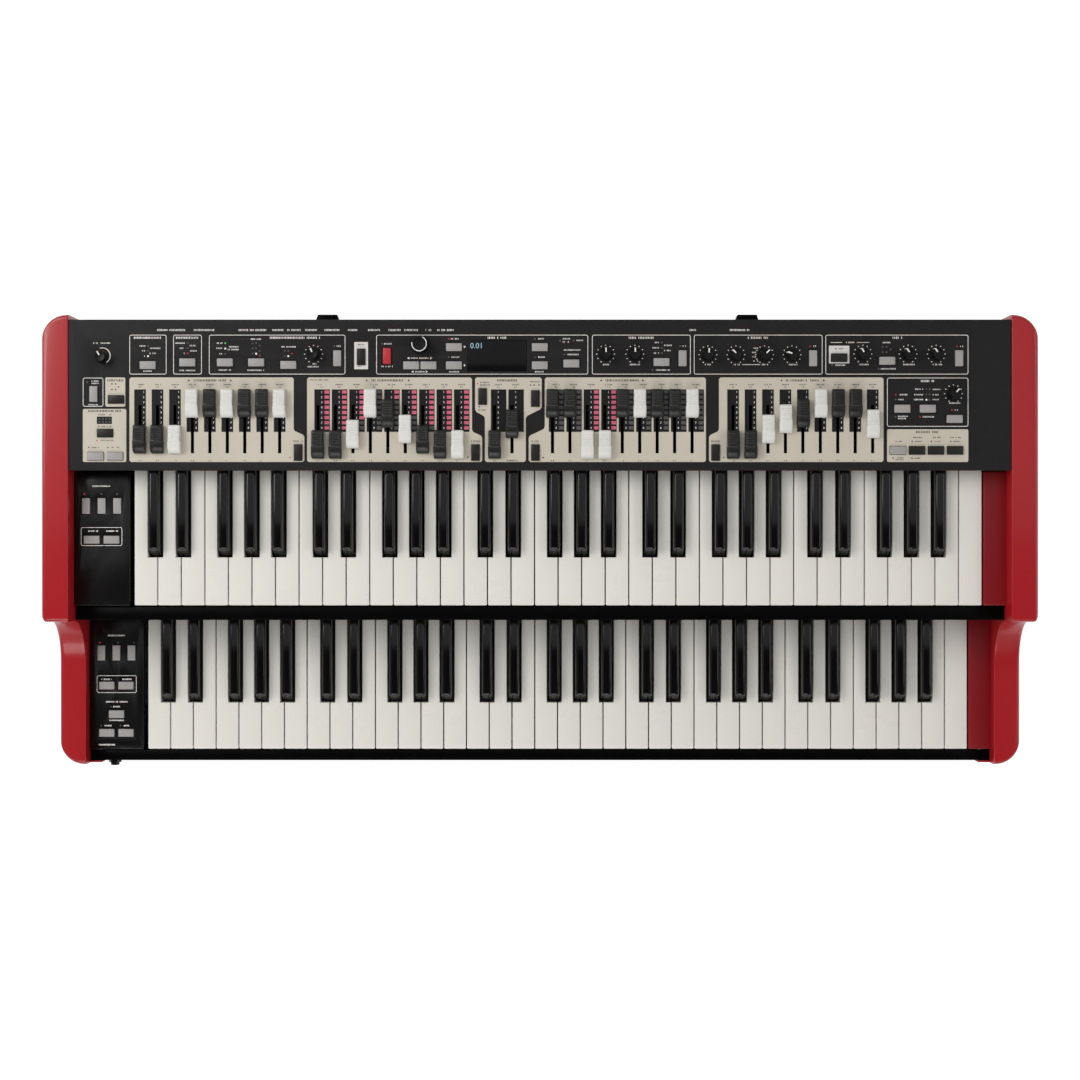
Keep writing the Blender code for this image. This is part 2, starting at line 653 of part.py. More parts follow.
def headphone_jack():
    """Make the headphone socket: a body behind the rail, and a bush and nut ahead of it."""
    x = across(HEADPHONE_PLACE)
    inner_y = RAIL_FRONT_Y + SHEET_T + CLEAR
    width, length, height = JACK_BODY
    low = (x - width / 2, inner_y, HEADPHONE_Z - height / 2)
    high = (x + width / 2, inner_y + length, HEADPHONE_Z + height / 2)
    piece = boxes("headphone_jack", [(low, high)])
    mouth = -DEPTH / 2
    nut_rear = RAIL_FRONT_Y - CLEAR
    bush = (x, HEADPHONE_Z, JACK_BUSH_D, mouth, inner_y + CUT_MARGIN)
    nut = (x, HEADPHONE_Z, HEADPHONE_NUT_D, nut_rear - HEADPHONE_NUT_T, nut_rear)
    bore = (x, HEADPHONE_Z, JACK_BORE_D, mouth - CUT_MARGIN, mouth + JACK_BORE_L)
    apply_tool(piece, rods("headphone_bush", [bush]), "UNION")
    apply_tool(piece, rods("headphone_nut", [nut]), "UNION")
    apply_tool(piece, rods("headphone_bore", [bore]), "DIFFERENCE")
    return finish(piece, BLACK_PLASTIC)


def foot(name, side, y):
    """Make a rubber foot under the tray."""
    radius = FOOT_D / 2
    top = FOOT_H - CLEAR
    piece = turned(name, [(0.0, top), (radius, top), (radius, 0.0), (0.0, 0.0)], FOOT_STEPS)
    piece.data.materials.append(RUBBER)
    piece.location = (side * (INNER_X - FOOT_INSET_X), y, 0.0)
    return piece


def keybed(name, bed_z, front_y, key_top, profile):
    """Make a keybed: a folded plate with a pivot ledge and a stop rail under the keys."""
    piece = prism(name, [profile], SIDE_PLANE, -SHEET_X, SHEET_X)
    pivot_y = front_y + PIVOT_BACK
    under = key_top - NATURAL_BODY_H
    dip = (PIVOT_BACK - STOP_BACK) * math.sin(KEY_DIP_ANGLE)
    root_z = bed_z + SHEET_T / 2
    left, right = KEYS_X, KEYS_X + KEYS_W
    ledge = (
        (left, pivot_y - LEDGE_W / 2, root_z), (right, pivot_y + LEDGE_W / 2, under - CLEAR),
    )
    stop_y = front_y + STOP_BACK
    stop = ((left, stop_y, root_z), (right, stop_y + STOP_W, under - dip - CLEAR))
    apply_tool(piece, boxes(name + "_rails", [ledge, stop]), "UNION")
    return finish(piece, BED_STEEL)


def upper_keybed():
    """Make the upper keybed, whose front fold is the strip ahead of the keys."""
    top = UPPER_BED_Z + SHEET_T
    rear_y = UPPER_PIVOT_Y + BED_BEHIND_PIVOT
    wall_rear = STRIP_FRONT_Y + SHEET_T
    lip_rear = STRIP_FRONT_Y + STRIP_DEPTH - CLEAR
    profile = [
        (STRIP_FRONT_Y, UPPER_BED_Z), (rear_y, UPPER_BED_Z), (rear_y, top), (wall_rear, top),
        (wall_rear, STRIP_TOP_Z - SHEET_T), (lip_rear, STRIP_TOP_Z - SHEET_T),
        (lip_rear, STRIP_TOP_Z), (STRIP_FRONT_Y, STRIP_TOP_Z),
    ]
    piece = keybed("upper_keybed", UPPER_BED_Z, UPPER_FRONT_Y, UPPER_KEY_TOP_Z, profile)
    piece.data.materials[0] = BLACK_STEEL
    return piece


def lower_keybed():
    """Make the lower keybed, which stands on the tray on its folded front and rear legs."""
    front, rear = LOWER_FRONT_Y + BED_SETBACK, LOWER_PIVOT_Y + BED_BEHIND_PIVOT
    foot_z, top = TRAY_TOP_Z + CLEAR, LOWER_BED_Z + SHEET_T
    profile = [
        (front, foot_z), (front + SHEET_T, foot_z), (front + SHEET_T, LOWER_BED_Z),
        (rear - SHEET_T, LOWER_BED_Z), (rear - SHEET_T, foot_z), (rear, foot_z),
        (rear, top), (front, top),
    ]
    return keybed("lower_keybed", LOWER_BED_Z, LOWER_FRONT_Y, LOWER_KEY_TOP_Z, profile)


def has_sharp_after(index):
    """Tell whether a sharp stands between this natural and the next one."""
    return index < NATURALS - 1 and index % NATURALS_IN_OCTAVE in SHARP_OFFSETS


def sharp_x(index):
    """Give the middle of the sharp that follows a natural."""
    line = KEYS_X + (index + 1) * NATURAL_PITCH - NATURAL_GAP / 2
    return line + SHARP_OFFSETS[index % NATURALS_IN_OCTAVE]


def natural_outline(index, front_y):
    """Give a natural's outline in plan, cut back where sharps stand beside it."""
    left = KEYS_X + index * NATURAL_PITCH
    right = left + NATURAL_PITCH - NATURAL_GAP
    head_y = front_y + NATURAL_HEAD_L
    rear_y = front_y + PIVOT_BACK + PIVOT_TAIL
    outline = [(left, front_y), (right, front_y)]
    if has_sharp_after(index):
        cut = sharp_x(index) - SHARP_CUT_W / 2
        outline += [(right, head_y), (cut, head_y), (cut, rear_y)]
    else:
        outline.append((right, rear_y))
    if index > 0 and has_sharp_after(index - 1):
        cut = sharp_x(index - 1) + SHARP_CUT_W / 2
        outline += [(cut, rear_y), (cut, head_y), (left, head_y)]
    else:
        outline.append((left, rear_y))
    return outline


def natural_solids(name, indices, front_y, key_top):
    """Make naturals: flat bodies with a deeper lip along the front."""
    outlines = [natural_outline(index, front_y) for index in indices]
    piece = prism(name, outlines, PLAN_PLANE, key_top - NATURAL_BODY_H, key_top)
    lips = []
    for index in indices:
        left = KEYS_X + index * NATURAL_PITCH + LIP_INSET
        right = left + NATURAL_PITCH - NATURAL_GAP - 2 * LIP_INSET
        low = (left, front_y + LIP_INSET, key_top - NATURAL_LIP_H)
        high = (right, front_y + NATURAL_LIP_T, key_top - NATURAL_BODY_H / 2)
        lips.append((low, high))
    apply_tool(piece, boxes(name + "_lips", lips), "UNION")
    return piece


def sharp_solids(name, indices, front_y, key_top):
    """Make sharps: tapered blocks, each with a low tail that reaches the pivot."""
    shape = bmesh.new()
    block_y = front_y + NATURAL_HEAD_L + SHARP_FRONT_GAP
    low, high = key_top - NATURAL_BODY_H, key_top + SHARP_OVER_NATURAL
    for index in indices:
        x = sharp_x(index)
        middle = (x, block_y + SHARP_BLOCK_L / 2, (low + high) / 2)
        size = Matrix.Diagonal((SHARP_BASE_W, SHARP_BLOCK_L, high - low, 1.0))
        made = bmesh.ops.create_cube(shape, size=1.0, matrix=Matrix.Translation(middle) @ size)
        for vert in made["verts"]:
            if vert.co.z > middle[2]:
                vert.co.x = x + (vert.co.x - x) * SHARP_TOP_W / SHARP_BASE_W
                if vert.co.y < middle[1]:
                    vert.co.y += SHARP_SLOPE
    piece = mesh_from(name, shape)
    tails = []
    half = SHARP_TAIL_W / 2
    tail_y = block_y + SHARP_BLOCK_L - NATURAL_LIP_T
    rear_y = front_y + PIVOT_BACK + PIVOT_TAIL
    for index in indices:
        x = sharp_x(index)
        tail_low = (x - half, tail_y, low + LIP_INSET)
        tails.append((tail_low, (x + half, rear_y, key_top - LIP_INSET)))
    apply_tool(piece, boxes(name + "_tails", tails), "UNION")
    return piece


def join_keys(piece, name, centres, width, pivot_y, low, high, bar_y):
    """Join a set of keys behind the pivot: a stem from each key to one cross bar."""
    half = width / 2
    front_y = pivot_y + PIVOT_TAIL - STEM_OVERLAP
    rear_y = pivot_y + bar_y + STEM_OVERLAP
    stems = [
        ((x - half, front_y, low + LIP_INSET), (x + half, rear_y, high - LIP_INSET))
        for x in centres
    ]
    apply_tool(piece, boxes(name + "_stems", stems), "UNION")
    bar_low = (min(centres) - width, pivot_y + bar_y, low)
    bar_high = (max(centres) + width, pivot_y + bar_y + COMB_BAR_W, high)
    apply_tool(piece, boxes(name + "_bar", [(bar_low, bar_high)]), "UNION")


def natural_set(name, left_out, front_y, key_top):
    """Make the naturals that move as one set."""
    indices = [index for index in range(NATURALS) if index not in left_out]
    piece = natural_solids(name, indices, front_y, key_top)
    pivot_y = front_y + PIVOT_BACK
    under = key_top - NATURAL_BODY_H
    centres = []
    for index in indices:
        outline = natural_outline(index, front_y)
        rear = [x for x, y in outline if y > pivot_y]
        centres.append((min(rear) + max(rear)) / 2)
    bar_top = under + NATURAL_BAR_H
    join_keys(piece, name, centres, NATURAL_STEM_W, pivot_y, under, bar_top, NATURAL_BAR_BACK)
    return finish(piece, IVORY, (0.0, pivot_y, under))


def sharp_set(name, left_out, front_y, key_top):
    """Make the sharps that move as one set."""
    indices = [i for i in range(NATURALS) if has_sharp_after(i) and i not in left_out]
    piece = sharp_solids(name, indices, front_y, key_top)
    pivot_y = front_y + PIVOT_BACK
    under = key_top - NATURAL_BODY_H
    centres = [sharp_x(index) for index in indices]
    bar_low, bar_top = under + NATURAL_BAR_H + BAR_GAP, key_top - LIP_INSET
    join_keys(piece, name, centres, SHARP_STEM_W, pivot_y, bar_low, bar_top, SHARP_BAR_BACK)
    return finish(piece, EBONY, (0.0, pivot_y, under))


def single_keys():
    """Make the keys of the upper manual that are hinged one by one."""
    origin = (0.0, UPPER_PIVOT_Y, UPPER_KEY_TOP_Z - NATURAL_BODY_H)
    for index, name in SINGLE_NATURALS.items():
        finish(natural_solids(name, [index], UPPER_FRONT_Y, UPPER_KEY_TOP_Z), IVORY, origin)
    for index, name in SINGLE_SHARPS.items():
        finish(sharp_solids(name, [index], UPPER_FRONT_Y, UPPER_KEY_TOP_Z), EBONY, origin)


def cap_footprint(place, along, grow=0.0):
    """Give a cap's plan corners. A cap along the panel has its long side across."""
    x, y = place
    half_x, half_y = (CAP_L / 2, CAP_W / 2) if along else (CAP_W / 2, CAP_L / 2)
    return (x - half_x - grow, y - half_y - grow), (x + half_x + grow, y + half_y + grow)


def panel_places(places):
    """Turn places on the control panel into world X and Y."""
    return [(across(x), back(y)) for x, y in places]


def panel_caps():
    """List every cap of the control panel as its place and its direction."""
    along = [*PANEL_CAPS_ALONG, *LEFT_CAPS_ALONG, *RIGHT_CAPS_ALONG]
    upright = [*PANEL_CAPS_ACROSS, *LEFT_CAPS_ACROSS]
    upright += [place for group in SWITCH_GROUPS for place in group]
    return [(place, True) for place in panel_places(along)] + [
        (place, False) for place in panel_places(upright)
    ]


def preset_caps(front_y, with_rotor):
    """List the caps of a preset block as their places and directions."""
    upright = [(x, front_y + y) for x, y in PRESET_CAPS_ACROSS]
    along = [(x, front_y + y) for x, y in PRESET_PAIR_ALONG]
    if with_rotor:
        along += [(x, front_y + y) for x, y in ROTOR_CAPS_ALONG]
    return [((x - INNER_X, y), True) for x, y in along] + [
        ((x - INNER_X, y), False) for x, y in upright
    ]


def cap_corners(caps, grow):
    """List the plan corners of caps, each grown by an edge."""
    return [corner for place, along in caps for corner in cap_footprint(place, along, grow)]


def cap_boxes(name, caps, low, high, grow=0.0):
    """Make a box for each cap between two heights."""
    spans = []
    for place, along in caps:
        (x0, y0), (x1, y1) = cap_footprint(place, along, grow)
        spans.append(((x0, y0, low), (x1, y1, high)))
    return boxes(name, spans)


def drawbar_places():
    """List each drawbar as its section, number, X and drawn step."""
    for section, first, steps in DRAWBAR_SECTIONS:
        for index, step in enumerate(steps):
            yield section, index + 1, across(first + index * DRAWBAR_PITCH), step


def stem_y(step):
    """World Y of the middle of a stem at a drawn step."""
    return back(HANDLE_REAR_BACK + STEM_FROM_HANDLE_REAR + step * DRAWBAR_STEP)


def control_panel():
    """Make the folded control panel with its slots, button holes and shaft holes."""
    fold_z = UPPER_KEY_TOP_Z + SHARP_OVER_NATURAL + FOLD_OVER_SHARPS
    rear_fold_z = PANEL_TOP_Z - REAR_FOLD_H
    front_inner, rear_inner = PANEL_FRONT_Y + SHEET_T, PANEL_REAR_Y - SHEET_T
    profile = [
        (PANEL_FRONT_Y, fold_z), (front_inner, fold_z), (front_inner, PANEL_UNDER_Z),
        (rear_inner, PANEL_UNDER_Z), (rear_inner, rear_fold_z), (PANEL_REAR_Y, rear_fold_z),
        (PANEL_REAR_Y, PANEL_TOP_Z), (PANEL_FRONT_Y, PANEL_TOP_Z),
    ]
    piece = prism("control_panel", [profile], SIDE_PLANE, -SHEET_X, SHEET_X)
    low, high = PANEL_UNDER_Z - CUT_MARGIN, PANEL_TOP_Z + CUT_MARGIN
    reach = STEM_L / 2 + HOLE_CLEAR
    front, rear = stem_y(DRAWBAR_STEPS) - reach, stem_y(0) + reach
    half = SLOT_W / 2
    slots = [((x - half, front, low), (x + half, rear, high)) for _, _, x, _ in drawbar_places()]
    window_x, window_y = across(WINDOW_ACROSS), back(WINDOW_BACK)
    slots.append((
        (window_x - CLEAR, window_y - WINDOW_L - CLEAR, low),
        (window_x + WINDOW_W + CLEAR, window_y + CLEAR, high),
    ))
    apply_tool(piece, boxes("panel_slots", slots), "DIFFERENCE")
    holes = cap_boxes("button_holes", panel_caps(), low, high, HOLE_CLEAR)
    apply_tool(piece, holes, "DIFFERENCE")
    shafts = [(across(x), back(y), KNOB_SHAFT_D + 2 * HOLE_CLEAR) for _, x, y in (DIAL, *KNOBS)]
    apply_tool(piece, posts("shaft_holes", shafts, low, high), "DIFFERENCE")
    return finish(piece, BLACK_STEEL)


def display_window():
    """Make the display window in its opening of the control panel."""
    x, y = across(WINDOW_ACROSS), back(WINDOW_BACK)
    top = PANEL_TOP_Z - WINDOW_SINK
    piece = boxes("display_window", [((x, y - WINDOW_L, top - SHEET_T), (x + WINDOW_W, y, top))])
    return finish(piece, WINDOW)


def preset_panel(name, front_y, rear_y, top_z, skirt_z, caps):
    """Make a preset block: a shell that is open below, with holes for its caps."""
    low = (-SHEET_X, front_y, skirt_z)
    high = (LEFT_BLOCK_X, rear_y, top_z)
    piece = boxes(name, [(low, high)])
    inner_low = (low[0] + SHEET_T, front_y + SHEET_T, skirt_z - CUT_MARGIN)
    inner_high = (high[0] - SHEET_T, rear_y - SHEET_T, top_z - SHEET_T)
    apply_tool(piece, boxes(name + "_hollow", [(inner_low, inner_high)]), "DIFFERENCE")
    limits = (top_z - SHEET_T - CUT_MARGIN, top_z + CUT_MARGIN)
    apply_tool(piece, cap_boxes(name + "_holes", caps, *limits, HOLE_CLEAR), "DIFFERENCE")
    return finish(piece, BLACK_PLASTIC)


def button_set(name, carrier, caps, panel_top, carrier_top):
    """Make a set of caps that stand on one carrier under their panel."""
    low, high = carrier_top - CARRIER_T / 2, panel_top + CAP_PROUD
    apply_tool(carrier, cap_boxes(name + "_caps", caps, low, high), "UNION")
    return finish(carrier, GREY_CAP, (0.0, 0.0, panel_top))


def preset_buttons(name, top_z, caps):
    """Make the caps of a preset block on a plain carrier."""
    corners = cap_corners(caps, CARRIER_EDGE)
    xs, ys = [x for x, _ in corners], [y for _, y in corners]
    carrier_top = top_z - SHEET_T - CARRIER_DROP
    low = (min(xs), min(ys), carrier_top - CARRIER_T)
    high = (max(xs), max(ys), carrier_top)
    return button_set(name, boxes(name, [(low, high)]), caps, top_z, carrier_top)


def branch_span(places):
    """Give the left, right and front ends that a branch of the carrier needs for its caps."""
    corners = cap_corners(places, BRANCH_EDGE)
    return min(x for x, _ in corners), max(x for x, _ in corners), min(y for _, y in corners)


def panel_buttons():
    """Make the caps of the control panel on one carrier: a strip with branches to the front."""
    groups = [[(place, False) for place in panel_places(group)] for group in SWITCH_GROUPS]
    left = [(place, True) for place in panel_places(LEFT_CAPS_ALONG)]
    left += [(place, False) for place in panel_places(LEFT_CAPS_ACROSS)]
    right = [(place, True) for place in panel_places(RIGHT_CAPS_ALONG)]
    branches = [branch_span(group) for group in [left, *groups, right]]
    row = [(place, True) for place in panel_places(PANEL_CAPS_ALONG)]
    row += [(place, False) for place in panel_places(PANEL_CAPS_ACROSS)]
    corners = cap_corners(row, CARRIER_EDGE)
    top = PANEL_UNDER_Z - CARRIER_DROP
    low, strip_rear = top - CARRIER_T, max(y for _, y in corners)
    right_end = max(branches[-1][1], max(x for x, _ in corners))
    strip = ((branches[0][0], min(y for _, y in corners), low), (right_end, strip_rear, top))
    carrier = boxes("panel_buttons", [strip])
    middle_y = (strip[0][1] + strip_rear) / 2
    arms = [((x0, front_y, low), (x1, middle_y, top)) for x0, x1, front_y in branches]
    apply_tool(carrier, boxes("carrier_branches", arms), "UNION")
    return button_set("panel_buttons", carrier, panel_caps(), PANEL_TOP_Z, top)


def handle_outline():
    """Give a handle's side outline: back from its rear end, and up from the panel."""
    return (
        (0.0, HANDLE_LIFT), (0.0, HANDLE_REAR_H), (HANDLE_CREST_L, HANDLE_CREST_H),
        (HANDLE_L, HANDLE_FRONT_H), (HANDLE_L, HANDLE_LIFT),
    )


def add_handle(shape, x, rear_y):
    """Add a handle to a bmesh: its side outline across its width, drawn in towards the top."""
    sides = []
    for side in (-1, 1):
        ring = []
        for length, height in handle_outline():
            raised = (height - HANDLE_LIFT) / (HANDLE_CREST_H - HANDLE_LIFT)
            half = HANDLE_W / 2 * (1.0 - (1.0 - HANDLE_TAPER) * raised)
            ring.append(shape.verts.new((x + side * half, rear_y - length, PANEL_TOP_Z + height)))
        shape.faces.new(ring)
        sides.append(ring)
    left, right = sides
    for index in range(len(left)):
        shape.faces.new((left[index - 1], left[index], right[index], right[index - 1]))


def drawbar_set(name, places, finish_material):
    """Make drawbars that slide as one. Each place is an X and a drawn step."""
    shape = bmesh.new()
    stems, sliders = [], []
    slider_top = PANEL_UNDER_Z - CLEAR
    slider_low = slider_top - SLIDER_H
    for x, step in places:
        y = stem_y(step)
        add_handle(shape, x, y + STEM_FROM_HANDLE_REAR)
        half_w, half_l = STEM_W / 2, STEM_L / 2
        low = (x - half_w, y - half_l, slider_top - SLIDER_H / 2)
        high = (x + half_w, y + half_l, PANEL_TOP_Z + HANDLE_REAR_H / 2)
        stems.append((low, high))
        half_w, half_l = SLIDER_W / 2, SLIDER_L / 2
        low = (x - half_w, y - half_l, slider_low)
        sliders.append((low, (x + half_w, y + half_l, slider_top)))
    piece = mesh_from(name, shape)
    apply_tool(piece, boxes(name + "_stems", stems), "UNION")
    apply_tool(piece, boxes(name + "_sliders", sliders), "UNION")
    if len(places) > 1:
        add_links(piece, name, places, slider_low)
    first_x, first_step = places[0]
    return finish(piece, finish_material, (first_x, stem_y(first_step), PANEL_TOP_Z))


def add_links(piece, name, places, slider_low):
    """Join drawbars under the panel. A set with other bars between its own is linked lower."""
    xs = [x for x, _ in places]
    y = stem_y(places[0][1])
    neighbours = all(round((b - a) / DRAWBAR_PITCH) == 1 for a, b in zip(xs, xs[1:]))
    half = LINK_W / 2
    overlap_z = slider_low + CLEAR
    link_top = overlap_z if neighbours else slider_low - LOW_LINK_DROP
    if not neighbours:
        leg, leg_low = half - CLEAR, link_top - LINK_H / 2
        legs = [((x - leg, y - leg, leg_low), (x + leg, y + leg, overlap_z)) for x in xs]
        apply_tool(piece, boxes(name + "_legs", legs), "UNION")
    link = ((xs[0] - half, y - half, link_top - LINK_H), (xs[-1] + half, y + half, link_top))
    apply_tool(piece, boxes(name + "_link", [link]), "UNION")


def drawbars():
    """Make the drawbars. Those of a section that are drawn alike slide as one set."""
    for section, first, steps in DRAWBAR_SECTIONS:
        for step in sorted(set(steps), reverse=True):
            numbers = [index + 1 for index, own in enumerate(steps) if own == step]
            name = f"drawbar_{section}_" + "_".join(str(number) for number in numbers)
            places = [(across(first + (number - 1) * DRAWBAR_PITCH), step) for number in numbers]
            white = section != "bass" and numbers[0] in WHITE_DRAWBARS
            drawbar_set(name, places, WHITE_BAR if white else DARK_BAR)


def knob(name, place_x, place_y, diameter, height):
    """Make a knob with its shaft, turned about its own axis."""
    radius, shaft = diameter / 2, KNOB_SHAFT_D / 2
    top_radius = radius * KNOB_TOP_D / KNOB_D
    shaft_end = -SHEET_T - SHAFT_BELOW
    profile = [
        (0.0, height), (top_radius, height), (radius, KNOB_LIFT + SHEET_T), (radius, KNOB_LIFT),
        (shaft, KNOB_LIFT), (shaft, shaft_end), (0.0, shaft_end),
    ]
    piece = turned(name, profile, KNOB_STEPS)
    piece.data.materials.append(BLACK_PLASTIC)
    piece.location = (across(place_x), back(place_y), PANEL_TOP_Z)


def combo_organ():
    """Make every piece, and hang them all on one empty at the origin."""
    left_cheek()
    right_cheek()
    base_tray()
    rear_panel()
    main_board()
    power_inlet()
    power_rocker()
    headphone_jack()
    front_foot_y, rear_foot_y = CHEEK_FRONT_Y + FOOT_INSET_FRONT, CHEEK_REAR_Y - FOOT_INSET_REAR
    foot("foot_front_left", -1, front_foot_y)
    foot("foot_front_right", 1, front_foot_y)
    foot("foot_rear_left", -1, rear_foot_y)
    foot("foot_rear_right", 1, rear_foot_y)
    upper_keybed()
    lower_keybed()
    control_panel()
    display_window()
    single_keys()
    natural_set("upper_naturals", SINGLE_NATURALS, UPPER_FRONT_Y, UPPER_KEY_TOP_Z)
    sharp_set("upper_sharps", SINGLE_SHARPS, UPPER_FRONT_Y, UPPER_KEY_TOP_Z)
    natural_set("lower_naturals", (), LOWER_FRONT_Y, LOWER_KEY_TOP_Z)
    sharp_set("lower_sharps", (), LOWER_FRONT_Y, LOWER_KEY_TOP_Z)
    upper_caps = preset_caps(UPPER_FRONT_Y, False)
    lower_caps = preset_caps(LOWER_FRONT_Y, True)
    bed_top = UPPER_BED_Z + SHEET_T + CLEAR
    preset_panel(
        "upper_preset_panel", UPPER_FRONT_Y, PANEL_FRONT_Y, UPPER_KEY_TOP_Z, bed_top, upper_caps,
    )
    lower_skirt = LOWER_KEY_TOP_Z - LOWER_SKIRT_H
    preset_panel(
        "lower_preset_panel", LOWER_FRONT_Y, UPPER_FRONT_Y, LOWER_KEY_TOP_Z, lower_skirt, lower_caps,
    )
    preset_buttons("upper_preset_buttons", UPPER_KEY_TOP_Z, upper_caps)
    preset_buttons("lower_preset_buttons", LOWER_KEY_TOP_Z, lower_caps)
    panel_buttons()
    drawbars()
    knob(*DIAL, DIAL_D, DIAL_H)
    for name, place_x, place_y in KNOBS:
        knob(name, place_x, place_y, KNOB_D, KNOB_H)
    root = bpy.data.objects.new("combo_organ_root", None)
    PIECES.objects.link(root)
    for piece in PIECES.objects:
        if piece is not root:
            piece.parent = root


combo_organ()
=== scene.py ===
"""Looks for a two-manual combo organ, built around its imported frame.

Sizes are millimetres and become metres when a mesh is made. X runs to the player's right,
Y to the rear and Z up, with the origin on the ground under the middle of the organ.
"""

import json
import logging
import math
from collections.abc import Iterable, Sequence
from dataclasses import dataclass
from enum import Enum
from functools import lru_cache

import bmesh
import bpy
from mathutils import Matrix, Vector

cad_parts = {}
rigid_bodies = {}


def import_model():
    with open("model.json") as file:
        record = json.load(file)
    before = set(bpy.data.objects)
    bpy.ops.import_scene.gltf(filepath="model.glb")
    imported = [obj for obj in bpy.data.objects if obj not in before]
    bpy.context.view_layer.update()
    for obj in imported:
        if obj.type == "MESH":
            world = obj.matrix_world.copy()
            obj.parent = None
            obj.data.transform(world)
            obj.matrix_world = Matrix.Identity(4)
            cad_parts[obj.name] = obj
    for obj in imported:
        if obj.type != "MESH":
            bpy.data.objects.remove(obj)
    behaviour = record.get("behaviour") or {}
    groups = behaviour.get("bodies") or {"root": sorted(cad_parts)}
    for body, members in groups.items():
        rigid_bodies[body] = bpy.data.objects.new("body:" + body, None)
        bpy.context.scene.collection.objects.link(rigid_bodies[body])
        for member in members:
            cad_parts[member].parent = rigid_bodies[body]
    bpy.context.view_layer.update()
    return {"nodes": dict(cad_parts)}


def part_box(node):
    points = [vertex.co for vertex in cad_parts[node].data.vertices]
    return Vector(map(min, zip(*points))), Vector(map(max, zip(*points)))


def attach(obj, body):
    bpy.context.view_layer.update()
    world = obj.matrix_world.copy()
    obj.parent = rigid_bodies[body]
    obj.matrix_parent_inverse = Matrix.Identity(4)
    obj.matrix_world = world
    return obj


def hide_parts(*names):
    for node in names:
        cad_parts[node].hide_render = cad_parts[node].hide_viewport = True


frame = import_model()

LOG = logging.getLogger("organ")
MM = 0.001
CASE = "case"
# Edges that turn by more degrees than this stay crisp.
CRISP = 35.0
CRISP_SHEET = 40.0
CRISP_HANDLE = 24.0
# How thick printed marks are.
PRINT = 0.12

Colour = tuple[float, float, float]
Point = tuple[float, float]
Triple = tuple[float, float, float]


def srgb(*values: int) -> Colour:
    """Turn screen values from 0 to 255 into linear light."""
    shares = [value / 255 for value in values]
    return tuple(
        share / 12.92 if share <= 0.04045 else ((share + 0.055) / 1.055) ** 2.4
        for share in shares
    )


@dataclass(frozen=True)
class Layout:
    """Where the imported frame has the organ's main faces."""

    inner: float = 465.0
    outer: float = 491.2
    cheek_front: float = -224.35
    rail_front: float = -222.05
    lower_front: float = -210.15
    strip_front: float = -74.45
    upper_front: float = -59.75
    panel_front: float = 74.25
    panel_rear: float = 222.95
    cheek_rear: float = 227.95
    bumper_tip: float = 229.55
    keys_left: float = -404.3
    end_block: float = 442.2
    panel_top: float = 149.0
    sheet: float = 2.0
    upper_keys: float = 127.0
    lower_keys: float = 62.0
    connector_z: float = 109.0

    def across(self, distance: float) -> float:
        """Give X of a distance from the left end of the control panel."""
        return distance - self.inner

    def back(self, distance: float) -> float:
        """Give Y of a distance from the rear edge of the control panel."""
        return self.panel_rear - distance

    def spot(self, across: float, back: float, z: float = panel_top) -> Triple:
        """Give the point at two distances on the control panel, or at another height."""
        return self.across(across), self.back(back), z


PLACE = Layout()


# Meshes


def link_piece(name: str, data: bpy.types.ID, crisp: float = 0.0) -> bpy.types.Object:
    """Put data into the scene as an object.

    Args:
        name: The name of the object.
        data: Its mesh, curve, lamp or camera.
        crisp: Soft shading up to this many degrees, or 0 to leave the shading.

    Returns:
        The object.
    """
    piece = bpy.data.objects.new(name, data)
    bpy.context.scene.collection.objects.link(piece)
    if crisp:
        soften(piece, crisp)
    return piece


def soften(piece: bpy.types.Object, crisp: float) -> None:
    """Shade a piece softly, but for the edges that turn by more degrees than crisp."""
    piece.data.shade_smooth()
    piece.data.set_sharp_from_angle(angle=math.radians(crisp))


def baked(piece: bpy.types.Object) -> bpy.types.Mesh:
    """Give the mesh that a piece has once its modifiers or its curve are worked out."""
    bpy.context.view_layer.update()
    graph = bpy.context.evaluated_depsgraph_get()
    return bpy.data.meshes.new_from_object(piece.evaluated_get(graph))


def bake(piece: bpy.types.Object) -> bpy.types.Object:
    """Replace a piece's mesh by what its modifiers make of it, and drop them."""
    mesh = baked(piece)
    piece.modifiers.clear()
    piece.data = mesh
    return piece


def arc(centre: Point, radius: float, start: float, end: float, steps: int) -> list[Point]:
    """Give the points of an arc between two angles in degrees, both ends included."""
    angles = [math.radians(start + (end - start) * step / steps) for step in range(steps + 1)]
    return [(centre[0] + radius * math.cos(a), centre[1] + radius * math.sin(a)) for a in angles]


def rounded(low: Point, high: Point, radius: float) -> list[Point]:
    """Give the outline, counter-clockwise, of a rectangle with round corners."""
    left, right, front, rear = low[0] + radius, high[0] - radius, low[1] + radius, high[1] - radius
    centres = ((right, rear, 0), (left, rear, 90), (left, front, 180), (right, front, 270))
    return [
        spot for x, y, start in centres for spot in arc((x, y), radius, start, start + 90, 4)
    ]


def rectangle(low: Point, high: Point) -> list[Point]:
    """Give the outline of a rectangle from its left front and right rear corners."""
    return [low, (high[0], low[1]), high, (low[0], high[1])]


def ring_y(centre: Triple, radius: float, y: float, steps: int) -> list[Triple]:
    """Give a ring of some points round an axis along Y, at a distance y from its centre."""
    angles = [math.tau * step / steps for step in range(steps)]
    return [
        (centre[0] + radius * math.cos(a), centre[1] + y, centre[2] + radius * math.sin(a))
        for a in angles
    ]


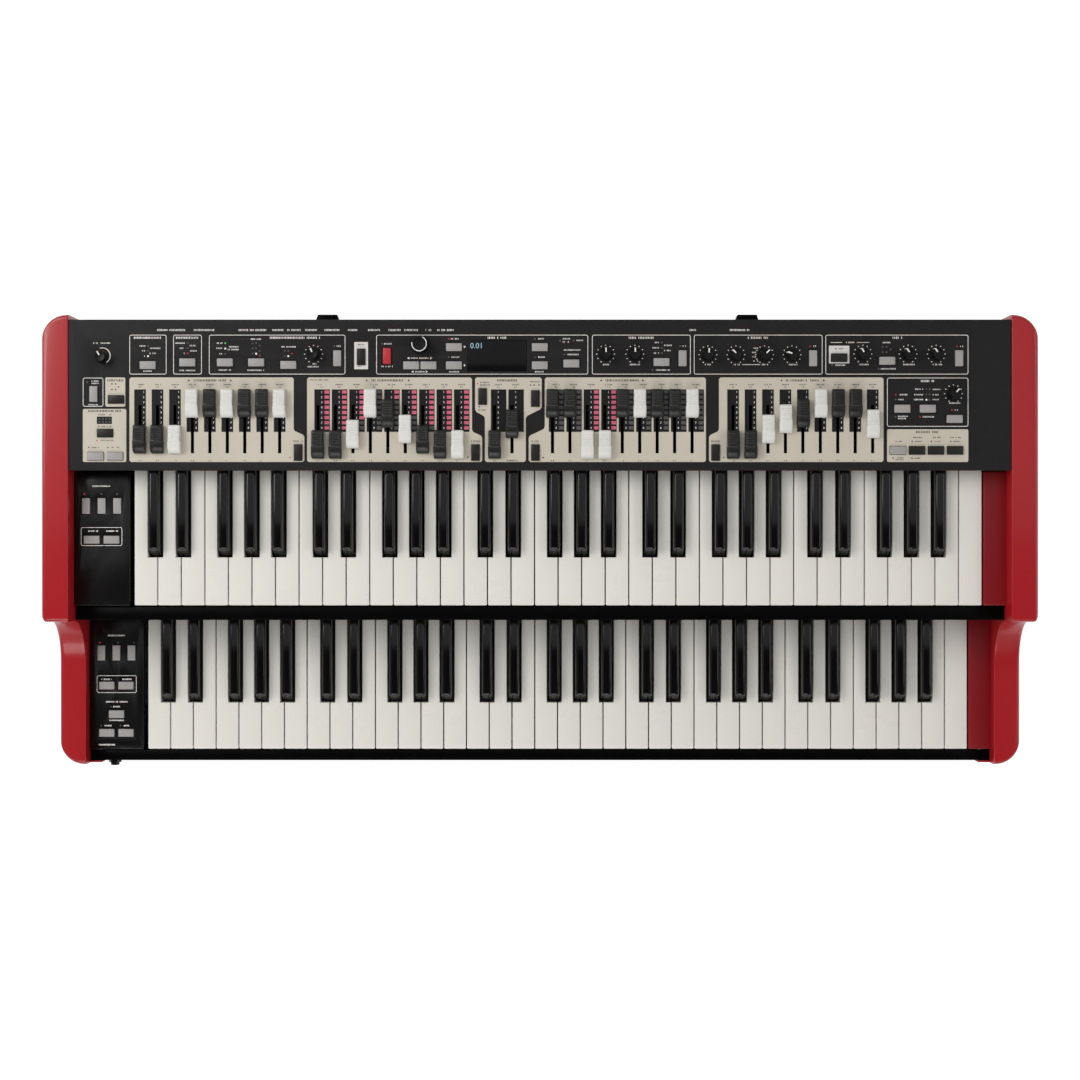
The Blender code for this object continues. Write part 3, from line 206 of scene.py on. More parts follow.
class Shape:
    """A mesh in millimetres that solids are added to, and that ends as a piece in metres."""

    def __init__(self) -> None:
        """Start with nothing."""
        self.mesh = bmesh.new()

    def box(self, low: Triple, high: Triple, radius: float = 0.0, steps: int = 2) -> "Shape":
        """Add a box with rounded edges.

        Args:
            low: The lowest corner.
            high: The highest corner.
            radius: The rounding of its edges, or 0 for sharp ones.
            steps: Faces across each rounding.

        Returns:
            The shape itself, as every adding method does.
        """
        middle = (Vector(low) + Vector(high)) / 2
        size = Vector(high) - Vector(low)
        place = Matrix.Translation(middle) @ Matrix.Diagonal((*size, 1.0))
        made = bmesh.ops.create_cube(self.mesh, size=1.0, matrix=place)
        if radius:
            edges = {edge for vert in made["verts"] for edge in vert.link_edges}
            self.round(edges, radius, steps)
        return self

    def round(self, edges: Iterable[bmesh.types.BMEdge], radius: float, steps: int) -> None:
        """Round some edges by a radius, with some faces across the rounding."""
        bmesh.ops.bevel(
            self.mesh, geom=list(edges), offset=radius, offset_type="OFFSET", segments=steps,
            profile=0.5, affect="EDGES", clamp_overlap=True,
        )

    def boxes_y(
        self, spans: Iterable[tuple[float, ...]], centre: Triple, near: float, far: float,
        radius: float = 0.0, steps: int = 1,
    ) -> "Shape":
        """Add boxes along Y from near to far, with the other arguments of box.

        Args:
            spans: Left, right, underside and top of each, from the centre.
            centre: Where the spans are measured from.
        """
        x, _, z = centre
        for left, right, under, top in spans:
            self.box((x + left, near, z + under), (x + right, far, z + top), radius, steps)
        return self

    def loft(self, rings: Sequence[Sequence[Triple]], endless: bool = False) -> "Shape":
        """Add a closed body through rings of points.

        Args:
            rings: Closed rings with the same number of points, from one end to the other.
            endless: Whether the last ring joins the first; else both ends are filled.
        """
        rows = [[self.mesh.verts.new(point) for point in ring] for ring in rings]
        for near, far in zip(rows, rows[1:] + (rows[:1] if endless else [])):
            for index in range(len(near)):
                self.mesh.faces.new((near[index - 1], near[index], far[index], far[index - 1]))
        if not endless:
            self.mesh.faces.new(rows[0][::-1])
            self.mesh.faces.new(rows[-1])
        return self

    def turned(
        self, profile: Sequence[Point], centre: Triple = (0.0, 0.0, 0.0), steps: int = 32,
        axis: str = "Z", flutes: int = 0, depth: float = 0.0,
    ) -> "Shape":
        """Add a body turned from a profile.

        Args:
            profile: Radius and height of each point, from the axis and back to it.
            centre: The foot of the axis.
            steps: Faces round the body.
            axis: The way it points, Z up or Y to the rear.
            flutes: Hollows round its widest part.
            depth: The depth of each hollow.
        """
        turn = Matrix.Rotation(-math.pi / 2, 4, "X") if axis == "Y" else Matrix.Identity(4)
        place = Matrix.Translation(centre) @ turn
        fluted = 0.85 * max(radius for radius, _ in profile)
        rows = []
        for radius, height in profile:
            row = []
            for step in range(steps if radius else 1):
                angle = 2 * math.pi * step / steps
                hollow = depth * (0.5 + 0.5 * math.cos(flutes * angle))
                reach = radius - (hollow if flutes and radius > fluted else 0.0)
                spot = Vector((reach * math.cos(angle), reach * math.sin(angle), height))
                row.append(self.mesh.verts.new(place @ spot))
            rows.append(row)
        for near, far in zip(rows, rows[1:]):
            for step in range(steps):
                corners = [near[(step - 1) % len(near)], near[step % len(near)]]
                corners += [far[step % len(far)], far[(step - 1) % len(far)]]
                unique = list(dict.fromkeys(corners))
                if len(unique) > 2:
                    self.mesh.faces.new(unique)
        return self

    def filled(self, curve: bpy.types.Curve, low: float, high: float) -> "Shape":
        """Add the solid of a filled flat curve between two heights."""
        curve.extrude = (high - low) / 2
        guide = link_piece("guide", curve)
        mesh = baked(guide)
        bpy.data.objects.remove(guide)
        self.mesh.from_mesh(mesh)
        bpy.data.meshes.remove(mesh)
        bmesh.ops.remove_doubles(self.mesh, verts=self.mesh.verts, dist=0.001)
        return self.moved(Matrix.Translation((0.0, 0.0, (low + high) / 2)))

    def plate(self, outlines: Iterable[Sequence[Point]], low: float, high: float) -> "Shape":
        """Add a plate between two heights, where an outline inside another one is a hole."""
        curve = bpy.data.curves.new("plate", "CURVE")
        curve.dimensions = "2D"
        curve.fill_mode = "BOTH"
        for outline in outlines:
            spline = curve.splines.new("POLY")
            spline.points.add(len(outline) - 1)
            for point, (x, y) in zip(spline.points, outline):
                point.co = (x, y, 0.0, 1.0)
            spline.use_cyclic_u = True
        return self.filled(curve, low, high)

    def text(self, text: str, size: float, thickness: float, detail: int) -> "Shape":
        """Add a short number as a thin solid that stands on Z 0.

        Args:
            text: The number.
            size: The height of its digits.
            thickness: The thickness of the solid.
            detail: Edges along each curve of its outline.
        """
        curve = bpy.data.curves.new(text, "FONT")
        curve.body = text
        curve.size = size * 1.35
        curve.resolution_u = detail
        return self.filled(curve, 0.0, thickness)

    def moved(self, place: Matrix) -> "Shape":
        """Move everything that the shape holds."""
        bmesh.ops.transform(self.mesh, matrix=place, verts=self.mesh.verts)
        return self

    def data(self, name: str) -> bpy.types.Mesh:
        """Turn the shape into plain mesh data, which uses it up."""
        mesh = bpy.data.meshes.new(name)
        self.mesh.to_mesh(mesh)
        self.mesh.free()
        return mesh

    def piece(self, name: str, crisp: float = CRISP) -> bpy.types.Object:
        """Turn the shape into an object in metres with its faces pointing out."""
        bmesh.ops.recalc_face_normals(self.mesh, faces=self.mesh.faces)
        mesh = self.data(name)
        mesh.transform(Matrix.Scale(MM, 4))
        return link_piece(name, mesh, crisp)

    def fit(
        self, name: str, finish: "Finish", body: str = CASE, nodes: Sequence[str] = ()
    ) -> bpy.types.Object:
        """Turn the shape into a piece and fit it, as fit does."""
        return fit(self.piece(name), body, finish, nodes)


def round_by_weight(name: str, shape: Shape, width: float, steps: int) -> bpy.types.Object:
    """Turn a shape in metres into an object whose edges are rounded by their weights.

    Args:
        name: The name of the object.
        shape: The shape.
        width: The rounding of an edge with weight 1, in millimetres.
        steps: Faces across the rounding.

    Returns:
        The object.
    """
    piece = link_piece(name, shape.data(name))
    bevel = piece.modifiers.new("rounding", "BEVEL")
    bevel.width = width * MM
    bevel.segments = steps
    bevel.limit_method = "WEIGHT"
    return bake(piece)


def rounded_copy(name: str, node: str, width: float, rim: float = 0.0) -> bpy.types.Object:
    """Copy a node of the frame, with its loose faces merged and its edges rounded.

    Args:
        name: The name of the piece.
        node: The node that gives the shape.
        width: The width of the rounding.
        rim: The width of the rounding round the outline of its top, or 0 for the same.

    Returns:
        The copy as a piece of its own.
    """
    copy = Shape()
    mesh = copy.mesh
    mesh.from_mesh(frame["nodes"][node].data)
    bmesh.ops.remove_doubles(mesh, verts=mesh.verts, dist=0.00001)
    bmesh.ops.dissolve_limit(
        mesh, angle_limit=math.radians(1.0), verts=mesh.verts, edges=mesh.edges,
    )
    widest, near = max(width, rim), MM * 0.05
    low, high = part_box(node)
    weight = mesh.edges.layers.float.new("bevel_weight_edge")
    for edge in mesh.edges:
        if len(edge.link_faces) != 2 or edge.calc_face_angle() <= math.radians(35.0):
            continue
        edge[weight] = width / widest
        spots = [vert.co for vert in edge.verts]
        if not rim or min(spot.z for spot in spots) <= high.z - near:
            continue
        for axis, share in ((0, 0.42), (1, 1.0)):
            ends = (low[axis], high[axis])
            if any(all(abs(spot[axis] - end) < near for spot in spots) for end in ends):
                edge[weight] = share
    piece = round_by_weight(name, copy, widest, 4 if rim else 2)
    soften(piece, CRISP_SHEET)
    return piece


def join(name: str, pieces: Sequence[bpy.types.Object]) -> bpy.types.Object:
    """Join pieces that stand at the origin into one, remove them, and give the new one."""
    whole = Shape()
    for piece in pieces:
        whole.mesh.from_mesh(piece.data)
        bpy.data.objects.remove(piece)
    return link_piece(name, whole.data(name), CRISP)


# Node trees


class Tree:
    """A node tree that short calls fill."""

    def __init__(self, tree: bpy.types.NodeTree) -> None:
        """Take an empty tree."""
        self.tree = tree

    def add(self, kind: str, links: dict[str | int, object], **settings: object) -> Sequence:
        """Add a node and fill its inputs.

        Args:
            kind: The type of the node.
            links: For each input, by name or number, another node's socket or a value.
            settings: Properties of the node.

        Returns:
            The outputs of the node.
        """
        node = self.tree.nodes.new(kind)
        for label, value in settings.items():
            setattr(node, label, value)
        for label, value in links.items():
            self.link(value, node.inputs[label])
        return node.outputs

    def link(self, value: object, socket: bpy.types.NodeSocket) -> None:
        """Fill a socket with another node's socket or with a value."""
        if isinstance(value, bpy.types.NodeSocket):
            self.tree.links.new(value, socket)
        else:
            socket.default_value = value

    def math(self, operation: str, first: object, second: object = 0.0) -> bpy.types.NodeSocket:
        """Combine two numbers or sockets by an operation, and give the result."""
        return self.add("ShaderNodeMath", {0: first, 1: second}, operation=operation)[0]

    def noise(self, vector: object, scale: object, detail: float = 2.0) -> bpy.types.NodeSocket:
        """Add noise at some places, with a scale and a detail, and give its strength."""
        links = {"Vector": vector, "Scale": scale, "Detail": detail}
        return self.add("ShaderNodeTexNoise", links)["Fac"]

    def ramp(self, value: object, low: float, high: float, **ends: object) -> bpy.types.NodeSocket:
        """Stretch a range of values.

        Args:
            value: The value.
            low: The start of its range.
            high: The end of its range.
            ends: What the two ends become, as start and end, or else 0 and 1.

        Returns:
            The stretched value.
        """
        links = {"Value": value, "From Min": low, "From Max": high}
        if ends:
            links |= {"To Min": ends["start"], "To Max": ends["end"]}
        return self.add("ShaderNodeMapRange", links)["Result"]

    def mix(self, share: object, first: object, second: object) -> bpy.types.NodeSocket:
        """Mix two colours by a share, and give the result."""
        links = {"Factor": share, "A": first, "B": second}
        return self.add("ShaderNodeMix", links, data_type="RGBA")["Result"]


class Effect(Tree):
    """A shader node group with named sockets, built once and placed in many materials."""

    def __init__(self, name: str, inputs: dict[str, str]) -> None:
        """Make the empty group.

        Args:
            name: The name of the group.
            inputs: The kind of each named input.
        """
        super().__init__(bpy.data.node_groups.new(name, "ShaderNodeTree"))
        for label, kind in inputs.items():
            self.socket(label, "INPUT", kind)
        self.given = self.tree.nodes.new("NodeGroupInput").outputs

    def socket(self, label: str, way: str, kind: str) -> None:
        """Add a named socket to the group's face."""
        self.tree.interface.new_socket(label, in_out=way, socket_type=f"NodeSocket{kind}")

    def close(self, results: dict[str, tuple[str, bpy.types.NodeSocket]]) -> bpy.types.NodeTree:
        """Give the group its outputs.

        Args:
            results: The kind of each named output and the socket that feeds it.

        Returns:
            The finished tree.
        """
        for label, (kind, _) in results.items():
            self.socket(label, "OUTPUT", kind)
        made = self.tree.nodes.new("NodeGroupOutput")
        for label, (_, result) in results.items():
            self.link(result, made.inputs[label])
        return self.tree


@lru_cache(maxsize=None)
def cloud_effect() -> bpy.types.NodeTree:
    """Build the effect that mixes two tones in soft clouds, as in dust and uneven paint."""
    effect = Effect("cloudy_tone", {
        "Vector": "Vector", "Scale": "Float", "First": "Color", "Second": "Color",
        "Amount": "Float",
    })
    given = effect.given
    band = effect.ramp(effect.noise(given["Vector"], given["Scale"], 5.0), 0.35, 0.68)
    share = effect.math("MULTIPLY", band, given["Amount"])
    return effect.close({"Colour": ("Color", effect.mix(share, given["First"], given["Second"]))})


@lru_cache(maxsize=None)
def grain_effect() -> bpy.types.NodeTree:
    """Build the effect of fine grain: a roughness that varies, and a height for bumps."""
    effect = Effect("fine_grain", {
        "Vector": "Vector", "Scale": "Float", "Smooth": "Float", "Rough": "Float",
    })
    given = effect.given
    vector, scale = given["Vector"], given["Scale"]
    cells = effect.add("ShaderNodeTexVoronoi", {"Vector": vector, "Scale": scale})["Distance"]
    height = effect.math("ADD", effect.noise(vector, scale, 3.0), cells)
    coarse = effect.noise(vector, effect.math("MULTIPLY", scale, 0.04), 4.0)
    level = effect.ramp(coarse, 0.3, 0.7, start=given["Smooth"], end=given["Rough"])
    return effect.close({"Roughness": ("Float", level), "Height": ("Float", height)})


@lru_cache(maxsize=None)
def streak_effect() -> bpy.types.NodeTree:
    """Build the effect of fine hairline marks that run along one way."""
    effect = Effect("hairline_marks", {
        "Vector": "Vector", "Stretch": "Vector", "Amount": "Float", "Clean": "Color",
        "Worn": "Color",
    })
    given = effect.given
    long = effect.add(
        "ShaderNodeVectorMath", {0: given["Vector"], 1: given["Stretch"]}, operation="MULTIPLY",
    )["Vector"]
    line = effect.ramp(effect.noise(long, 1.0), 0.62, 0.74)
    share = effect.math("MULTIPLY", line, given["Amount"])
    return effect.close({"Colour": ("Color", effect.mix(share, given["Clean"], given["Worn"]))})


# Finishes


@dataclass(frozen=True)
class Finish:
    """One finish: two tones in soft clouds under a fine grain, with hairline marks."""

    name: str
    slot: str
    tone: Colour
    second: Colour
    smooth: float
    rough: float
    clouds: float = 25.0
    cloud_amount: float = 0.5
    grain: float = 1200.0
    bump: float = 0.1
    marks: float = 0.1
    stretch: Triple = (900.0, 40.0, 300.0)
    coat: float = 0.0
    coat_rough: float = 0.05
    metallic: float = 0.0
    specular: float = 0.5
    glow: float = 0.0

    def material(self) -> bpy.types.Material:
        """Build the material of this finish, or give the one that is already built."""
        made = bpy.data.materials.get(self.name)
        if made is not None:
            return made
        made = bpy.data.materials.new(self.name)
        made.use_nodes = True
        tree = Tree(made.node_tree)
        spot = tree.add("ShaderNodeTexCoord", {})["Object"]
        clouds = tree.add("ShaderNodeGroup", {
            "Vector": spot, "Scale": self.clouds, "First": (*self.tone, 1.0),
            "Second": (*self.second, 1.0), "Amount": self.cloud_amount,
        }, node_tree=cloud_effect())["Colour"]
        streaks = tree.add("ShaderNodeGroup", {
            "Vector": spot, "Stretch": self.stretch, "Amount": self.marks, "Clean": clouds,
            "Worn": (*self.second, 1.0),
        }, node_tree=streak_effect())["Colour"]
        grain = tree.add("ShaderNodeGroup", {
            "Vector": spot, "Scale": self.grain, "Smooth": self.smooth, "Rough": self.rough,
        }, node_tree=grain_effect())
        bump = tree.add("ShaderNodeBump", {
            "Strength": self.bump, "Distance": 0.0002, "Height": grain["Height"],
        })["Normal"]
        values = {
            "Base Color": streaks, "Roughness": grain["Roughness"], "Normal": bump,
            "Metallic": self.metallic, "Specular IOR Level": self.specular,
            "Coat Weight": self.coat, "Coat Roughness": self.coat_rough,
        }
        if self.glow:
            values |= {"Emission Color": clouds, "Emission Strength": self.glow}
        shader = made.node_tree.nodes["Principled BSDF"]
        for label, value in values.items():
            tree.link(value, shader.inputs[label])
        return made


LACQUER = Finish(
    "red_lacquer_gloss", "red_lacquer", srgb(164, 24, 31), srgb(156, 21, 28), 0.27, 0.33,
    clouds=9.0, cloud_amount=0.3, bump=0.01, grain=260.0, coat=0.2, coat_rough=0.1, marks=0.06,
    specular=0.4,
)
# The cheeks' red lacquer made darker and duller for the end blocks: painted shade of the blocks low
# beside the keys.
SHADED_BLOCK_LACQUER = Finish(
    "red_lacquer_satin", "red_lacquer", srgb(130, 20, 26), srgb(123, 18, 24), 0.34, 0.42,
    clouds=9.0, cloud_amount=0.3, bump=0.01, grain=260.0, marks=0.06, specular=0.3,
)
POWDER = Finish(
    "black_powder_coat", "black_steel", srgb(27, 25, 25), srgb(30, 28, 28), 0.5, 0.56,
    grain=1500.0, bump=0.08, marks=0.06, specular=0.22,
)
# Darker and duller than the panel's powder coat: partly the sheets' own black, partly painted shade
# of the low strip and front rail.
TRAY_COAT_AND_SHADE = Finish(
    "black_tray_coat", "black_steel", srgb(4, 3, 3), srgb(6, 5, 5), 0.3, 0.38,
    grain=1200.0, bump=0.06, marks=0.06, stretch=(40.0, 900.0, 300.0), specular=0.05,
)
BED_METAL = Finish(
    "zinc_plate", "bed_steel", (0.40, 0.41, 0.43), (0.30, 0.31, 0.33), 0.32, 0.48,
    clouds=60.0, metallic=1.0, bump=0.1, marks=0.3,
)
CASE_PLASTIC = Finish(
    "black_moulding", "black_plastic", srgb(6, 4, 5), srgb(8, 6, 7), 0.26, 0.28,
    grain=1800.0, bump=0.02, marks=0.02, specular=0.38,
)
KNOB_PLASTIC = Finish(
    "knob_moulding", "black_plastic", srgb(7, 7, 7), srgb(10, 9, 9), 0.3, 0.38,
    grain=1600.0, bump=0.08, specular=0.24,
)
IVORY = Finish(
    "key_plastic", "ivory_key", srgb(225, 222, 214), srgb(221, 217, 208), 0.26, 0.34,
    clouds=12.0, cloud_amount=0.12, grain=900.0, bump=0.03, coat=0.1, marks=0.02, specular=0.4,
)
EBONY = Finish(
    "sharp_plastic", "black_key", srgb(8, 6, 6), srgb(11, 9, 9), 0.09, 0.12,
    clouds=16.0, cloud_amount=0.3, grain=900.0, bump=0.01, marks=0.04, specular=0.38,
)
GREY_CAP = Finish(
    "grey_button", "grey_cap", srgb(158, 155, 153), srgb(148, 144, 141), 0.42, 0.54,
    grain=1500.0, bump=0.12,
)
DARK_CAP = Finish(
    "dark_button", "grey_cap", srgb(24, 21, 20), srgb(29, 26, 25), 0.4, 0.5,
    grain=1500.0, bump=0.12, specular=0.35,
)
RED_CAP = Finish(
    "red_button", "grey_cap", srgb(184, 38, 48), srgb(168, 32, 42), 0.36, 0.48,
    grain=1500.0, bump=0.1,
)
DARK_BAR = Finish(
    "dark_handle", "dark_drawbar", srgb(22, 22, 20), srgb(27, 27, 25), 0.32, 0.4,
    clouds=60.0, grain=1500.0, bump=0.08, marks=0.04, specular=0.38,
)
WHITE_BAR = Finish(
    "white_handle", "white_drawbar", srgb(219, 218, 213), srgb(211, 209, 203), 0.34, 0.44,
    clouds=60.0, grain=1500.0, bump=0.08, marks=0.04,
)
WINDOW = Finish(
    "window_gloss", "display_window", srgb(11, 11, 13), srgb(14, 14, 16), 0.14, 0.2,
    grain=500.0, bump=0.01, marks=0.1, specular=0.22,
)
RUBBER = Finish(
    "foot_rubber", "rubber", srgb(30, 30, 30), srgb(40, 39, 38), 0.7, 0.86,
    grain=900.0, bump=0.4,
)
BOARD = Finish(
    "green_board", "circuit_board", srgb(26, 92, 52), srgb(20, 74, 42), 0.3, 0.44,
    clouds=240.0, cloud_amount=0.9, grain=2000.0, bump=0.1, marks=0.4,
)
NICKEL = Finish(
    "nickel_plate", "bed_steel", (0.62, 0.61, 0.58), (0.50, 0.49, 0.46), 0.2, 0.32,
    clouds=120.0, metallic=1.0, bump=0.05, marks=0.25,
)
CREAM = Finish(
    "cream_print", "black_steel", srgb(198, 190, 174), srgb(190, 181, 164), 0.46, 0.58,
    clouds=18.0, grain=1500.0, bump=0.12, marks=0.12,
)


class Ink(Enum):
    """Inks and lamps of the printed panels."""

    LIGHT = Finish(
        "light_ink", "black_steel", srgb(236, 234, 230), srgb(222, 220, 216), 0.5, 0.6,
        clouds=400.0, bump=0.05,
    )
    DARK = Finish(
        "dark_ink", "black_steel", srgb(48, 44, 42), srgb(62, 58, 54), 0.5, 0.6,
        clouds=400.0, bump=0.05,
    )
    BLACK = Finish(
        "window_ink", "black_steel", srgb(14, 12, 14), srgb(18, 16, 18), 0.34, 0.42,
        clouds=90.0, bump=0.03, specular=0.3,
    )
    PALE = Finish(
        "pale_print", "black_steel", srgb(213, 209, 206), srgb(206, 202, 198), 0.46, 0.58,
        clouds=60.0, bump=0.08,
    )
    DIM = Finish(
        "lamp_off", "display_window", srgb(86, 82, 82), srgb(66, 62, 62), 0.25, 0.35,
        clouds=500.0, bump=0.02,
    )
    ROSE = Finish(
        "lamp_rose", "display_window", srgb(190, 82, 106), srgb(206, 104, 126), 0.3, 0.4,
        clouds=500.0, bump=0.02, glow=0.12,
    )
    RED = Finish(
        "lamp_red", "display_window", srgb(176, 34, 40), srgb(196, 56, 54), 0.3, 0.4,
        clouds=500.0, bump=0.02, glow=0.2,
    )
    GREEN = Finish(
        "lamp_green", "display_window", srgb(70, 200, 96), srgb(130, 230, 140), 0.25, 0.35,
        clouds=500.0, bump=0.02, glow=0.2,
    )
    # Also used for the printed numbers beside the slots, where its glow is painted light.
    WHITE = Finish(
        "lamp_white", "display_window", srgb(236, 236, 230), srgb(250, 250, 244), 0.25, 0.35,
        clouds=500.0, bump=0.02, glow=0.15,
    )
    BLUE = Finish(
        "digit_light", "display_window", srgb(140, 176, 190), srgb(160, 192, 204), 0.25, 0.35,
        clouds=500.0, bump=0.02, glow=0.25,
    )


def fit(
    piece: bpy.types.Object, body: str, finish: Finish, nodes: Sequence[str] = ()
) -> bpy.types.Object:
    """Dress a piece and let it ride on a body of the frame.

    Args:
        piece: The piece.
        body: The body that carries it.
        finish: Its finish.
        nodes: The nodes of the frame that it stands for.

    Returns:
        The piece.
    """
    piece.data.materials.clear()
    piece.data.materials.append(finish.material())
    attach(piece, body)
    if nodes:
        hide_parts(*nodes)
    LOG.info("%s: %d faces on %s", piece.name, len(piece.data.polygons), body)
    return piece


# Geometry Nodes


class Grower(Tree):
    """A Geometry Nodes tree that grows a piece from points, ended by one material."""

    def __init__(self, name: str, inputs: dict[str, tuple[str, object]]) -> None:
        """Make the tree, with the kind and the first value of each named input."""
        super().__init__(bpy.data.node_groups.new(name, "GeometryNodeTree"))
        face = self.tree.interface
        every = {"Geometry": ("Geometry", None), **inputs, "Finish": ("Material", None)}
        for label, (kind, value) in every.items():
            socket = face.new_socket(label, in_out="INPUT", socket_type=f"NodeSocket{kind}")
            if value is not None:
                socket.default_value = value
        face.new_socket("Geometry", in_out="OUTPUT", socket_type="NodeSocketGeometry")
        self.given = self.tree.nodes.new("NodeGroupInput").outputs

    def named(self, label: str, kind: str = "FLOAT") -> bpy.types.NodeSocket:
        """Read a named attribute of the points, of a kind of data."""
        reader = self.add("GeometryNodeInputNamedAttribute", {"Name": label}, data_type=kind)
        return reader["Attribute"]

    def vector(self, **parts: object) -> bpy.types.NodeSocket:
        """Make a vector of sockets or numbers for X, Y and Z."""
        return self.add("ShaderNodeCombineXYZ", parts)["Vector"]

    def shapes(self) -> dict[str, object]:
        """Give the links that let instances pick from the stock in the input Shapes."""
        stock = self.add("GeometryNodeCollectionInfo", {
            "Collection": self.given["Shapes"], "Separate Children": True,
            "Reset Children": False,
        })
        return {"Instance": stock[0], "Pick Instance": True}

    def copied(self, amount: object) -> Sequence:
        """Copy each point some times, and give the points and the number of each copy."""
        return self.add("GeometryNodeDuplicateElements", {
            "Geometry": self.given["Geometry"], "Amount": amount,
        }, domain="POINT")

    def close(self, links: dict[str, object], offset: object = None) -> "Grower":
        """End the tree: shift the points, set instances, make them real and dress them.

        Args:
            links: The inputs of the instances.
            offset: How far the points are shifted first, or None.

        Returns:
            The tree itself.
        """
        if offset is not None:
            moved = {"Geometry": links["Points"], "Offset": offset}
            links["Points"] = self.add("GeometryNodeSetPosition", moved)["Geometry"]
        placed = self.add("GeometryNodeInstanceOnPoints", links)["Instances"]
        real = self.add("GeometryNodeRealizeInstances", {"Geometry": placed})["Geometry"]
        dressed = self.add("GeometryNodeSetMaterial", {
            "Geometry": real, "Material": self.given["Finish"],
        })["Geometry"]
        self.link(dressed, self.tree.nodes.new("NodeGroupOutput").inputs[0])
        return self

    def grow(
        self, name: str, mesh: bpy.types.Mesh, finish: Finish, values: dict[str, object]
    ) -> bpy.types.Object:
        """Run the tree on a mesh and keep the result as a plain piece.

        Args:
            name: The name of the piece.
            mesh: The points or edges to grow from.
            finish: The finish of the result.
            values: Values of the tree's named inputs.

        Returns:
            The piece, with no modifier left.
        """
        piece = link_piece(name, mesh)
        modifier = piece.modifiers.new("grow", "NODES")
        modifier.node_group = self.tree
        every = {**values, "Finish": finish.material()}
        for item in self.tree.interface.items_tree:
            if item.item_type == "SOCKET" and item.in_out == "INPUT" and item.name in every:
                modifier[item.identifier] = every[item.name]
        bake(piece)
        soften(piece, CRISP)
        return piece


def point_mesh(
    spots: Sequence[Triple], edges: Sequence[tuple[int, int]] = (), **values: Sequence[float]
) -> bpy.types.Mesh:
    """Make a mesh of points that carry named values.

    Args:
        spots: The places in millimetres.
        edges: The pairs of points that an edge joins.
        values: The whole or broken numbers of each named attribute.

    Returns:
        The mesh, in metres.
    """
    mesh = bpy.data.meshes.new("points")
    mesh.from_pydata([Vector(spot) * MM for spot in spots], edges, [])
    for label, numbers in values.items():
        kind = "INT" if all(isinstance(number, int) for number in numbers) else "FLOAT"
        mesh.attributes.new(label, kind, "POINT").data.foreach_set("value", list(numbers))
    return mesh


class Stock:
    """Shapes held ready for a tree that picks them by number."""

    def __init__(self, pieces: Sequence[bpy.types.Object]) -> None:
        """Put the pieces, whose names sort by their numbers, into one collection."""
        self.collection = bpy.data.collections.new("stock")
        bpy.context.scene.collection.children.link(self.collection)
        for piece in pieces:
            bpy.context.scene.collection.objects.unlink(piece)
            self.collection.objects.link(piece)

    def clear(self) -> None:
        """Remove the shapes, once everything has grown."""
        for piece in list(self.collection.objects):
            bpy.data.objects.remove(piece)
        bpy.data.collections.remove(self.collection)

    def set_out(
        self, name: str, spots: Sequence[Triple], finish: Finish, picks: Sequence[int] = (),
        turns: Sequence[float] = (), rungs: Sequence[int] = (),
    ) -> bpy.types.Object:
        """Set shapes on points, one on each or a ladder with the drawbars' step.

        Args:
            name: The name of the piece.
            spots: The points.
            finish: The finish.
            picks: The number of the first shape on each point, or nothing for 0.
            turns: How far the shapes are turned about Z, or nothing for not at all.
            rungs: The number of rungs on each point, or nothing for single shapes.

        Returns:
            The shapes as one piece.
        """
        count = len(spots)
        mesh = point_mesh(
            spots, pick=picks or [0] * count, turn=turns or [0.0] * count,
            rungs=rungs or [1] * count,
        )
        values = {"Shapes": self.collection, "Pitch": BAR_STEP * MM if rungs else 0.0}
        return ladder_tree().grow(name, mesh, finish, values)


@lru_cache(maxsize=None)
def ladder_tree() -> Grower:
    """Build the tree that sets a ladder of shapes on each point, towards the player.

    Attribute rungs is their count, pick the number of the first one and turn how far they
    are turned. Rung k stands k pitches ahead of the point and shows shape k of the stock,
    which starts again at its end.
    """
    grower = Grower("ladder_of_shapes", {
        "Shapes": ("Collection", None), "Pitch": ("Float", 0.005),
    })
    copied = grower.copied(grower.named("rungs", "INT"))
    rung = grower.math("ADD", copied["Duplicate Index"], grower.named("pick", "INT"))
    shift = grower.math("MULTIPLY", rung, grower.given["Pitch"])
    return grower.close({
        "Points": copied["Geometry"], **grower.shapes(), "Instance Index": rung,
        "Rotation": grower.vector(Z=grower.named("turn")),
    }, grower.vector(Y=grower.math("MULTIPLY", shift, -1.0)))


@lru_cache(maxsize=None)
def dial_scale_tree() -> Grower:
    """Build the tree that sets an arc of dots round each point."""
    grower = Grower("dial_scale", {
        "Dots": ("Int", 11), "Radius": ("Float", 0.0087), "Sweep": ("Float", 5.2),
        "Dot Size": ("Float", 0.0008), "Thickness": ("Float", 0.0001),
    })
    given, math_of = grower.given, grower.math
    copied = grower.copied(given["Dots"])
    share = math_of("DIVIDE", copied["Duplicate Index"], math_of("SUBTRACT", given["Dots"], 1.0))
    angle = math_of("MULTIPLY", math_of("SUBTRACT", share, 0.5), given["Sweep"])
    size = grower.vector(X=given["Dot Size"], Y=given["Dot Size"], Z=given["Thickness"])
    return grower.close({
        "Points": copied["Geometry"],
        "Instance": grower.add("GeometryNodeMeshCube", {"Size": size})["Mesh"],
        "Rotation": grower.vector(Z=math_of("MULTIPLY", angle, -1.0)),
    }, grower.vector(
        X=math_of("MULTIPLY", math_of("SINE", angle), given["Radius"]),
        Y=math_of("MULTIPLY", math_of("COSINE", angle), given["Radius"]),
    ))


